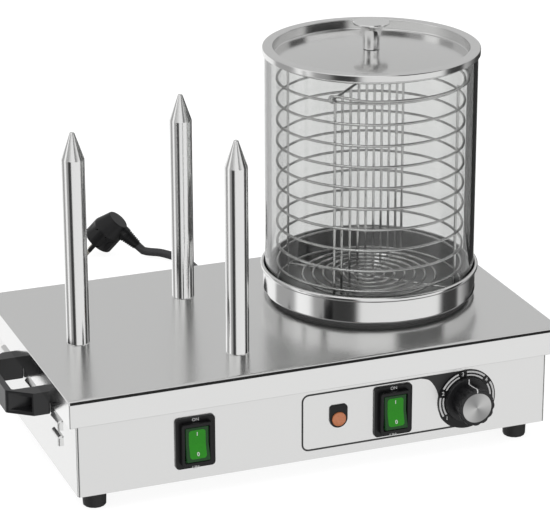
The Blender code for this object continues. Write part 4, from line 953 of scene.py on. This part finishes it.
pan_low, pan_high, pan_middle, rim_radius = measures("pan")
steamer = Matrix.Translation((pan_middle.x, pan_middle.y, 0))
pan_radius = rim_radius - PAN_ROLL
inner = pan_radius - PAN_SHEET
pan_floor = pan_low.z + PAN_SHEET
roll_low = pan_high.z - 2 * PAN_ROLL
pan_profile = [
    (0, pan_floor),
    (inner, pan_floor, 0.0008),
    (inner, pan_high.z, 0.0011),
    (rim_radius, pan_high.z, ROLL_EASE),
    (rim_radius, roll_low, ROLL_EASE),
    (pan_radius, roll_low + 0.0002, 0.0003),
    (pan_radius, pan_low.z, 0.0022),
    (0, pan_low.z),
]
pan_parts = place_from(pan_steel, pan_middle)
squares = [calculate(pan_steel, "MULTIPLY", pan_parts[axis], pan_parts[axis]) for axis in "XY"]
edge = inner + PAN_SHEET / 2
inside = calculate(pan_steel, "LESS_THAN", calculate(pan_steel, "ADD", *squares), edge**2)
# Painted shade: inside its wall the pan's colour drops to a dark grey. It is also rougher there.
change_where(pan_steel, inside, Base_Color=INSIDE_PAINTED_SHADE, Roughness=INSIDE_ROUGHNESS)
pan_ride = (pan_steel, ["pan"], "base", "bright_steel")
turned("water_pan", pan_profile, steamer, PAN_STEPS, *pan_ride, ease_steps=6)

# %% Glass
GLASS_WALL = 0.0038
GLASS_STEPS = 192
glass_profile = [
    (glass_radius - GLASS_WALL, glass_low.z, 0.0008),
    (glass_radius, glass_low.z, 0.0008),
    (glass_radius, glass_high.z, 0.0012),
    (glass_radius - GLASS_WALL, glass_high.z, 0.0012),
]
glass_ride = (clear_glass, ["glass_cylinder"], "glass", "clear_glass")
turned("glass_wall", glass_profile, steamer, GLASS_STEPS, *glass_ride, closed=True)

# %% Lid
LID_SHEET = 0.0009
LID_SKIRT = 0.006
LID_RECESS_RADIUS = 0.092
LID_RECESS_DEPTH = 0.010
LID_DOME = 0.007
LID_HOLE = 0.0023
DOME_STEPS = 10
lid_radius = measures("lid")[3]
lid_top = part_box("lid")[1].z
lid_floor = lid_top - LID_RECESS_DEPTH


def dome(drop):
    """Points of the lid's shallow dome, from the screw hole out."""
    points = []
    for i in range(DOME_STEPS):
        radius = LID_HOLE + (LID_RECESS_RADIUS - LID_HOLE) * i / DOME_STEPS
        rise = LID_DOME * (1 - (radius / LID_RECESS_RADIUS) ** 2)
        points.append((radius, lid_floor + rise - drop))
    return points


skirt_radius = lid_radius - LID_SHEET
recess_radius = LID_RECESS_RADIUS + LID_SHEET
lid_profile = [
    *dome(0),
    (LID_RECESS_RADIUS, lid_floor, 0.0012),
    (LID_RECESS_RADIUS, lid_top, 0.0008),
    (lid_radius, lid_top, 0.0014),
    (lid_radius, lid_top - LID_SKIRT, 0.0003),
    (skirt_radius, lid_top - LID_SKIRT, 0.0003),
    (skirt_radius, lid_top - LID_SHEET, 0.0006),
    (recess_radius, lid_top - LID_SHEET, 0.0003),
    (recess_radius, lid_floor - LID_SHEET, 0.0018),
    *dome(LID_SHEET)[::-1],
]
lid_ride = (lid_steel, ["lid"], "lid", "sheet_steel")
turned("pressed_lid", lid_profile, steamer, PAN_STEPS, *lid_ride, closed=True)

# %% [markdown]
# The knob is a turned steel one, whose thin flat top flares out from a slim stem.

# %% Lid knob
SCREW_DEPTH = 0.012
KNOB_SHARES = (
    *((0.46, 0.0), (0.475, 0.02), (0.485, 0.30), (0.51, 0.52), (0.55, 0.66), (0.63, 0.765)),
    *((0.76, 0.845), (0.90, 0.895), (1.0, 0.925), (1.0, 0.975), (0.965, 1.0)),
)
low, high, _, radius = measures("lid_knob")
tall = high.z - low.z
profile = [(0, low.z + SCREW_DEPTH), (LID_HOLE, low.z + SCREW_DEPTH), (LID_HOLE, low.z)]
profile += [(radius * out, low.z + tall * up) for out, up in KNOB_SHARES]
profile.append((0, high.z))
knob_ride = (polished_steel, ["lid_knob"], "lid", "bright_steel")
turned("turned_knob", profile, steamer, MEDIUM, *knob_ride)

# %% [markdown]
# ## The basket
# The basket is welded from round wire: rings, four uprights, an upright grid across its middle, and
# a base of circles on a cross. Each wire is a bent tube, and the welds are small overlaps.

# %% Basket cage
WIRE = 0.0013
WELD = 0.0004
BASKET_RADIUS = 0.088
BASKET_PITCH = 0.0202
BASKET_RINGS = 10
TOP_RING_Z = 0.329
BASE_RING_Z = 0.127
RING_STEPS = 72
basket = steamer @ Matrix.Rotation(math.radians(45), 4, "Z")


def hoop(bm, radius, z, steps=RING_STEPS, sides=10):
    wire(bm, [basket @ Vector((x, y, z)) for x, y in circle(radius, steps)], WIRE, sides, True)


def rod(bm, start, end, sides=12):
    wire(bm, [basket @ Vector(start), basket @ Vector(end)], WIRE, sides)


cage_low, cage_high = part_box("basket_cage")
bm = bmesh.new()
for z in [TOP_RING_Z - i * BASKET_PITCH for i in range(BASKET_RINGS)] + [BASE_RING_Z]:
    hoop(bm, BASKET_RADIUS, z)
reach = BASKET_RADIUS - 2 * WIRE + WELD
for x, y in ((reach, 0), (0, reach), (-reach, 0), (0, -reach)):
    rod(bm, (x, y, cage_low.z), (x, y, cage_high.z))
settle("wire_cage", bm, wire_steel, ["basket_cage"], "basket", "bright_steel")

# %% Partition and base
PARTITION_WIRES = 8
PARTITION_PITCH = 0.0196
PARTITION_OVERHANG = 0.0065
GRID_PITCH = 0.00985
GRID_CIRCLES = 7
partition_z = TOP_RING_Z + 2 * WIRE + GAP
spoke_z = BASE_RING_Z + 2 * WIRE + GAP
grid_top = spoke_z + 3 * WIRE - WELD
bm = bmesh.new()
half = BASKET_RADIUS + PARTITION_OVERHANG
rod(bm, (-half, 0, partition_z), (half, 0, partition_z))
for i in range(PARTITION_WIRES):
    x = (i - (PARTITION_WIRES - 1) / 2) * PARTITION_PITCH
    rod(bm, (x, 0, grid_top + GAP), (x, 0, partition_z))
settle("wire_partition", bm, wire_steel, ["basket_partition"], "basket", "bright_steel")

bm = bmesh.new()
half = BASKET_RADIUS - 3 * WIRE + WELD - GAP
rod(bm, (-half, 0, spoke_z), (half, 0, spoke_z))
rod(bm, (0, -half, spoke_z), (0, half, spoke_z))
for i in range(1, GRID_CIRCLES + 1):
    hoop(bm, (i - 0.5) * GRID_PITCH, spoke_z + 2 * WIRE - WELD, 24 + 6 * i, 8)
settle("wire_base", bm, wire_steel, ["basket_base_grid"], "basket", "bright_steel")

# %% Bail
BAIL_RADIUS = 0.0915
EYE_RADIUS = 0.003
EYE_ANGLE = math.radians(240)
RISE_SHARE = 0.12
BAIL_STEPS = 72
EYE_STEPS = 18
start = math.asin(EYE_RADIUS / BAIL_RADIUS)
arm = []
for i, (x, y) in enumerate(arc(BAIL_RADIUS, start, math.pi - start, BAIL_STEPS)):
    rise = max(0, 1 - min(i, BAIL_STEPS - i) / BAIL_STEPS / RISE_SHARE)
    arm.append(Vector((x, -y, EYE_RADIUS * rise * rise * (3 - 2 * rise))))
eye = arc(EYE_RADIUS, math.pi / 2 + EYE_ANGLE, math.pi / 2, EYE_STEPS)
eye_x = BAIL_RADIUS * math.cos(start)
first_eye, last_eye = [[Vector((x, -u, v)) for u, v in eye] for x in (eye_x, -eye_x)]
bail_line = first_eye + arm[1:-1] + last_eye[::-1]
bail_place = basket @ Matrix.Translation((0, 0, partition_z))
bm = bmesh.new()
wire(bm, [bail_place @ spot for spot in bail_line], WIRE, 12)
settle("wire_bail", bm, wire_steel, ["basket_bail"], "bail", "bright_steel")

# %% [markdown]
# ## Handles
# Moulded black handles, each screwed on from deep pockets in its slanted ends.

# %% Handles
for side in SIDES:
    smoothed(f"handle_{side}", black_plastic, "black_plastic")

# %% [markdown]
# ## The control panel
# The panel's face is flat, so everything on it stands in one plane. A place on the panel is given
# by its X and its height, and the frame below turns that into the room: its Z comes out of the
# panel.

# %% Panel frame
PANEL_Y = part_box("body_shell")[0].y
UPRIGHT = Matrix.Rotation(math.pi / 2, 4, "X")
INK = 0.00012
BOLDER = 0.00008


def on_panel(x, z):
    return Matrix.Translation((x, PANEL_Y, z)) @ UPRIGHT


def printed(name, outline, finish, low, place, body="base", slot="black_plastic"):
    """A thin layer of print on a flat face."""
    bm = bmesh.new()
    slab(bm, outline, low, low + INK, place)
    return settle(name, bm, finish, (), body, slot)


def lettering(name, text, size, place, bold=BOLDER, body="base", slot="black_plastic"):
    """Raised white print of generic words or numbers, centred on a place."""
    curve = bpy.data.curves.new(name, "FONT")
    curve.body = text
    curve.size = size
    curve.align_x = "CENTER"
    curve.align_y = "CENTER"
    curve.extrude = INK / 2
    curve.offset = bold
    guide = in_scene(name, curve)
    evaluated = guide.evaluated_get(bpy.context.evaluated_depsgraph_get())
    mesh = bpy.data.meshes.new_from_object(evaluated)
    bpy.data.objects.remove(guide)
    mesh.transform(place)
    return ride_on(name, mesh, white_ink, (), body)


# %% Switches
SWITCH_Z = 0.055
BEZEL_PLATE = 0.0025
BEZEL_CORNER = 0.0035
COLLAR = (0.0295, 0.0405, 0.0025)
COLLAR_REACH = 0.0078
HOUSING = (0.0275, 0.037, 0.001)
HOUSING_BACK = -0.024
ROCKER_WIDTH = 0.0225
ROCKER_HEIGHT = 0.0325
OPENING = (ROCKER_WIDTH + 0.0008, ROCKER_HEIGHT + 0.0016, 0.0008)
WORD_SIZE = 0.0042
WORD_BOLD = 0.00005
WORDS = (("ON", 0.0224), ("OFF", -0.0238))


def frame_of(bm, outer, low, high, place, ease=0.0):
    """A flat frame from an outline to the rocker's opening, with rounded front rims."""
    inner = rectangle(*OPENING)
    loops = []
    for outline, z in ((outer, low), (outer, high), (inner, high), (inner, low)):
        loops.append(loop(bm, [place @ Vector((x, y, z)) for x, y in outline]))
    skin(bm, loops, True)
    if ease:
        round_off(bm, loops[1] + loops[2], ease)


for name in SIDES:
    low, high, centre, _ = measures(f"switch_bezel_{name}")
    spot = on_panel(centre.x, SWITCH_Z)
    bezel = rectangle(high.x - low.x, high.z - low.z, BEZEL_CORNER)
    bm = bmesh.new()
    frame_of(bm, bezel, GAP, BEZEL_PLATE, spot, 0.0005)
    frame_of(bm, rectangle(*COLLAR), 0.001, COLLAR_REACH, spot, 0.0006)
    frame_of(bm, rectangle(*HOUSING), HOUSING_BACK, 0.0012, spot)
    settle(f"switch_frame_{name}", bm, switch_plastic, [f"switch_bezel_{name}"])
    for word, y in WORDS:
        word_place = spot @ Matrix.Translation((0, y, BEZEL_PLATE + INK / 2))
        lettering(f"word_{word.lower()}_{name}", word, WORD_SIZE, word_place, WORD_BOLD)

# %% Rockers
ROCKER_TILT = math.radians(8)
PIVOT_REACH = 0.003
MIDDLE_REACH = 0.0067
ROCKER_BACK = 0.004
ROCKER_EASE = 0.0011
WINDOW_CORNER = 0.0028
WINDOW_SHARE = 0.86
WINDOW_HALF = ROCKER_WIDTH * 0.35
WINDOW_LIFT = 0.00004
MARK_SHARE = 0.62
MARK_SIZE = 0.0050
half = ROCKER_HEIGHT / 2
middle = MIDDLE_REACH - PIVOT_REACH
edge = middle + half * math.tan(ROCKER_TILT)
section = [(-middle, 0), (-edge, -half), (ROCKER_BACK, -half), (ROCKER_BACK, half), (-edge, half)]
to_the_side = Matrix(((0, 0, 1, 0), (1, 0, 0, 0), (0, 1, 0, 0), (0, 0, 0, 1)))
lift = middle * math.cos(ROCKER_TILT) + WINDOW_LIFT
for name in SIDES:
    centre = measures(f"switch_rocker_{name}")[2]
    pivot = Matrix.Translation((centre.x, PANEL_Y - PIVOT_REACH, SWITCH_Z))
    pivot = pivot @ Matrix.Rotation(-ROCKER_TILT, 4, "X")
    bm = bmesh.new()
    slab(bm, section, -ROCKER_WIDTH / 2, ROCKER_WIDTH / 2, pivot @ to_the_side)
    round_off(bm, [e for e in bm.edges if e.calc_face_angle(0) > SHARP], ROCKER_EASE)
    rocker = {"body": f"rocker_{name}", "slot": "green_plastic"}
    settle(f"rocker_{name}_button", bm, green_frame, [f"switch_rocker_{name}"], **rocker)
    for end, mark in ((1, "I"), (-1, "0")):
        face = pivot @ Matrix.Rotation(end * ROCKER_TILT, 4, "X") @ UPRIGHT
        y = end * half * WINDOW_SHARE
        x = WINDOW_HALF
        window = [(-x, 0), (-x, y, WINDOW_CORNER), (x, y, WINDOW_CORNER), (x, 0)]
        window_name = f"rocker_{name}_window_{mark.lower()}"
        printed(window_name, eased(window[::-end]), green_window, lift, face, **rocker)
        mark_place = face @ Matrix.Translation((0, end * half * MARK_SHARE, lift + INK * 1.5))
        lettering(f"rocker_{name}_mark_{mark.lower()}", mark, MARK_SIZE, mark_place, **rocker)

# %% Pilot lamp
TAG_PLATE = 0.0012
TAG_CORNER = 0.0035
LENS_SHARES = ((1, 0.0), (1, 0.35), (0.97, 0.6), (0.86, 0.8), (0.6, 0.93), (0.3, 0.985), (0, 1))
LENS_STEM = 0.005
LENS_BACK = -0.016
low, high, centre, radius = measures("pilot_tag")
lens_z = low.z + radius
top = high.z - lens_z
spot = on_panel(centre.x, lens_z)
outline = arc(radius, math.pi, FULL_TURN, 24)
corners = eased([(radius, 0), (radius, top, TAG_CORNER), (-radius, top, TAG_CORNER), (-radius, 0)])
bm = bmesh.new()
slab(bm, outline + corners[1:-1], GAP, TAG_PLATE + GAP, spot, 0.0003, 2)
settle("lamp_tag", bm, switch_plastic, ["pilot_tag"])

low, _, _, radius = measures("pilot_lens")
rise = PANEL_Y - low.y - TAG_PLATE - GAP
profile = [(0, LENS_BACK), (LENS_STEM, LENS_BACK), (LENS_STEM, TAG_PLATE)]
profile.append((radius, TAG_PLATE + GAP))
profile += [(radius * out, TAG_PLATE + GAP + rise * up) for out, up in LENS_SHARES]
lens_ride = (orange_lens, ["pilot_lens"], "base", "orange_plastic")
turned("lamp_lens", profile, spot, COARSE, *lens_ride)

# %% Dial
DIAL_FACE = 0.0011
DIAL_HOLE = 0.0036
DIAL_FIRST = -130
DIAL_STEP = 60
DIAL_NUMBERS = 5
NUMBER_SHARE = 0.885
NUMBER_SIZE = 0.0054
NUMBER_MARGIN = 9
BAND_SHARES = ((0.905, 0.965), (0.80, 0.85))
_, _, dial, dial_radius = measures("dial_plate")
dial_spot = on_panel(dial.x, dial.z)
disc = [(DIAL_HOLE, GAP), (dial_radius, GAP), (dial_radius, DIAL_FACE), (DIAL_HOLE, DIAL_FACE)]
turned("dial_disc", disc, dial_spot, FINE, switch_plastic, ["dial_plate"], closed=True)

for i in range(DIAL_NUMBERS):
    angle = DIAL_FIRST + i * DIAL_STEP
    spot = (*polar(dial_radius * NUMBER_SHARE, math.radians(90 - angle)), DIAL_FACE + INK / 2)
    number_place = dial_spot @ Matrix.Translation(spot)
    lettering(f"dial_number_{i + 1}", str(i + 1), NUMBER_SIZE, number_place)
    if i < DIAL_NUMBERS - 1:
        first = math.radians(90 - angle - NUMBER_MARGIN)
        last = math.radians(90 - angle - DIAL_STEP + NUMBER_MARGIN)
        steps = max(4, round((DIAL_STEP - 2 * NUMBER_MARGIN) / 3))
        for k, (inner, outer) in enumerate(BAND_SHARES):
            outline = arc(dial_radius * outer, first, last, steps)
            outline += arc(dial_radius * inner, last, first, steps)
            printed(f"dial_band_{i + 1}_{k + 1}", outline, white_ink, DIAL_FACE, dial_spot)

# %% [markdown]
# The panel's printed outline is a thin black line with rounded corners on the left. On the right it
# widens into a black field, whose edge swings round the dial.

# %% Printed outline
LINE = 0.0016
LABEL_LEFT = -0.017
LABEL_LOW = 0.027
LABEL_HIGH = 0.083
LABEL_CORNER = 0.007
LABEL_RIGHT = dial.x - 0.008
FIELD_TOP = dial.x - 0.006
SWOOSH = (
    *((0.0992, 0.0818), (0.1091, 0.0785), (0.1158, 0.0695), (0.1191, 0.0589)),
    *((0.1188, 0.0509), (0.1216, 0.0389), (0.1299, 0.0299), (0.1356, 0.0270)),
)
SWOOSH_STEPS = 6
panel = on_panel(0, 0)


def label_line(inset):
    """The label's left part, open on the right, set in from its edge."""
    low, high, left = LABEL_LOW + inset, LABEL_HIGH - inset, LABEL_LEFT + inset
    corner = LABEL_CORNER - inset
    line = [(LABEL_RIGHT, low), (LABEL_RIGHT, high), (left, high, corner), (left, low, corner)]
    line = eased(line)
    return line[1:] + line[:1]


def through(points):
    """A smooth line through points."""
    spots = [Vector(p) for p in points]
    spots = [spots[0] * 2 - spots[1], *spots, spots[-1] * 2 - spots[-2]]
    line = []
    for before, here, after, beyond in zip(spots, spots[1:], spots[2:], spots[3:]):
        for k in range(SWOOSH_STEPS):
            t = k / SWOOSH_STEPS
            curve = (after - before) * t + (2 * before - 5 * here + 4 * after - beyond) * t**2
            curve += (3 * here - before - 3 * after + beyond) * t**3
            line.append(tuple(here + curve / 2))
    return line + [points[-1]]


printed("label_outline", label_line(0) + label_line(LINE)[::-1], black_ink, 0.0001, panel)
field = through(SWOOSH) + [(dial.x, LABEL_LOW)]
round_dial = arc(dial_radius, -math.pi / 2, math.pi / 2, 36)[1:]
field += [(dial.x + x, dial.z + z) for x, z in round_dial]
field += [(FIELD_TOP, LABEL_HIGH), (SWOOSH[0][0], LABEL_HIGH)]
printed("label_field", field, black_ink, 0.00005, panel)

# %% Thermostat knob
SKIRT_RADIUS = 0.0222
SKIRT_HIGH = 0.0052
GRIP_RADIUS = 0.0182
GRIP_BASE_RADIUS = 0.0165
GRIP_LOBES = 12
GRIP_STEPS = 144
LOBE_DEPTH = 0.0011
CAP_RADIUS = 0.0145
reach = PANEL_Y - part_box("knob_cap")[0].y
knob_start = PANEL_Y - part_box("thermostat_knob")[1].y
SKIRT = [
    (0, knob_start),
    (SKIRT_RADIUS, knob_start, 0.0003),
    (SKIRT_RADIUS - 0.0006, SKIRT_HIGH, 0.0006),
    (0, SKIRT_HIGH),
]
GRIP_LEVELS = (
    (SKIRT_HIGH - 0.0008, GRIP_BASE_RADIUS),
    (SKIRT_HIGH + 0.004, GRIP_BASE_RADIUS),
    (reach - 0.0050, GRIP_RADIUS - 0.0006),
    (reach - 0.0022, GRIP_RADIUS),
    (reach - 0.0006, GRIP_RADIUS - 0.0004),
    (reach, GRIP_RADIUS - 0.0013),
    (reach, CAP_RADIUS + 0.0002),
    (reach - 0.0012, CAP_RADIUS + 0.0001),
)
bm = bmesh.new()
lathe(bm, eased(SKIRT), dial_spot, FINE)
rings = []
for z, radius in GRIP_LEVELS:
    lobe = LOBE_DEPTH if radius > CAP_RADIUS + 0.001 else 0
    spots = []
    for i in range(GRIP_STEPS):
        a = FULL_TURN * i / GRIP_STEPS
        dip = lobe * (0.5 - 0.5 * math.cos(GRIP_LOBES * a)) ** 2
        spots.append(dial_spot @ Vector((*polar(radius - dip, a), z)))
    rings.append(loop(bm, spots))
skin(bm, rings)
settle("control_knob_grip", bm, knob_plastic, ["thermostat_knob"], "control_knob")

# %% [markdown]
# The cap is spun aluminium. Two light rays and two dark ones are painted into its colour, as painted
# highlights and painted reflections, and they turn with the knob.

# %% Cap and pointer
# The cap's light and dark rays are painted highlights and painted reflections in its colour.
CAP_PAINTED_GLINTS = 2
PAINTED_GLINT_TURN = 0.6
CAP_PAINTED_DARK_RAY = 0.30
CAP_PAINTED_LIGHT_RAY = (0.58, 0.58, 0.575)
POINTER_WIDTH = 0.0011
cap_high = reach + 0.00002
cap_low = reach - 0.001
cap = [(0, cap_low), (CAP_RADIUS, cap_low), (CAP_RADIUS, cap_high, 0.0003), (0, cap_high)]
painted_glint_cap = principled("spun cap with painted glints", 0.45, 0.30, 1.0)
cap_parts = place_from(painted_glint_cap, dial_spot.translation)
# Painted highlight and painted reflection: the colour swings between a light and a dark ray by the
# angle round the knob's axis.
turn = calculate(painted_glint_cap, "ARCTAN2", cap_parts["Z"], cap_parts["X"])
phase = calculate(painted_glint_cap, "MULTIPLY_ADD", turn, CAP_PAINTED_GLINTS, PAINTED_GLINT_TURN)
wave = calculate(painted_glint_cap, "SINE", phase)
painted_glint = calculate(painted_glint_cap, "MULTIPLY_ADD", wave, 0.5, 0.5)
dress(
    painted_glint_cap,
    Base_Color=tint(painted_glint_cap, painted_glint, CAP_PAINTED_DARK_RAY, CAP_PAINTED_LIGHT_RAY),
    Roughness=spread(painted_glint_cap, noise(painted_glint_cap, 900.0), 0.25, 0.38),
)
cap_ride = (painted_glint_cap, ["knob_cap"], "control_knob", "sheet_steel")
turned("control_cap", cap, dial_spot, FINE, *cap_ride)

POINTER = (
    (SKIRT_RADIUS - 0.0009, SKIRT_HIGH + 0.00005),
    (GRIP_BASE_RADIUS + 0.0001, SKIRT_HIGH + 0.00005),
    (GRIP_BASE_RADIUS + 0.0001, SKIRT_HIGH + 0.004),
    (GRIP_RADIUS - 0.0005, reach - 0.0050),
    (GRIP_RADIUS + 0.0001, reach - 0.0022),
    (GRIP_RADIUS - 0.0003, reach - 0.0005),
    (GRIP_RADIUS - 0.0013, reach - 0.0001),
    (CAP_RADIUS + 0.0003, reach - 0.0001),
)
bm = bmesh.new()
strips = []
for out, z in POINTER:
    ends = [dial_spot @ Vector((s * POINTER_WIDTH / 2, out, z)) for s in (-1, 1)]
    strips.append(bm.edges.new([bm.verts.new(end) for end in ends]))
for a, b in zip(strips, strips[1:]):
    bmesh.ops.bridge_loops(bm, edges=[a, b])
bmesh.ops.solidify(bm, geom=bm.faces[:], thickness=INK)
settle("pointer_line", bm, white_ink, (), "control_knob")

# %% [markdown]
# ## Colours and the end
# The picture is shown as it is lit, with no film look.

# %% Finish
bpy.context.scene.view_settings.view_transform = "Standard"
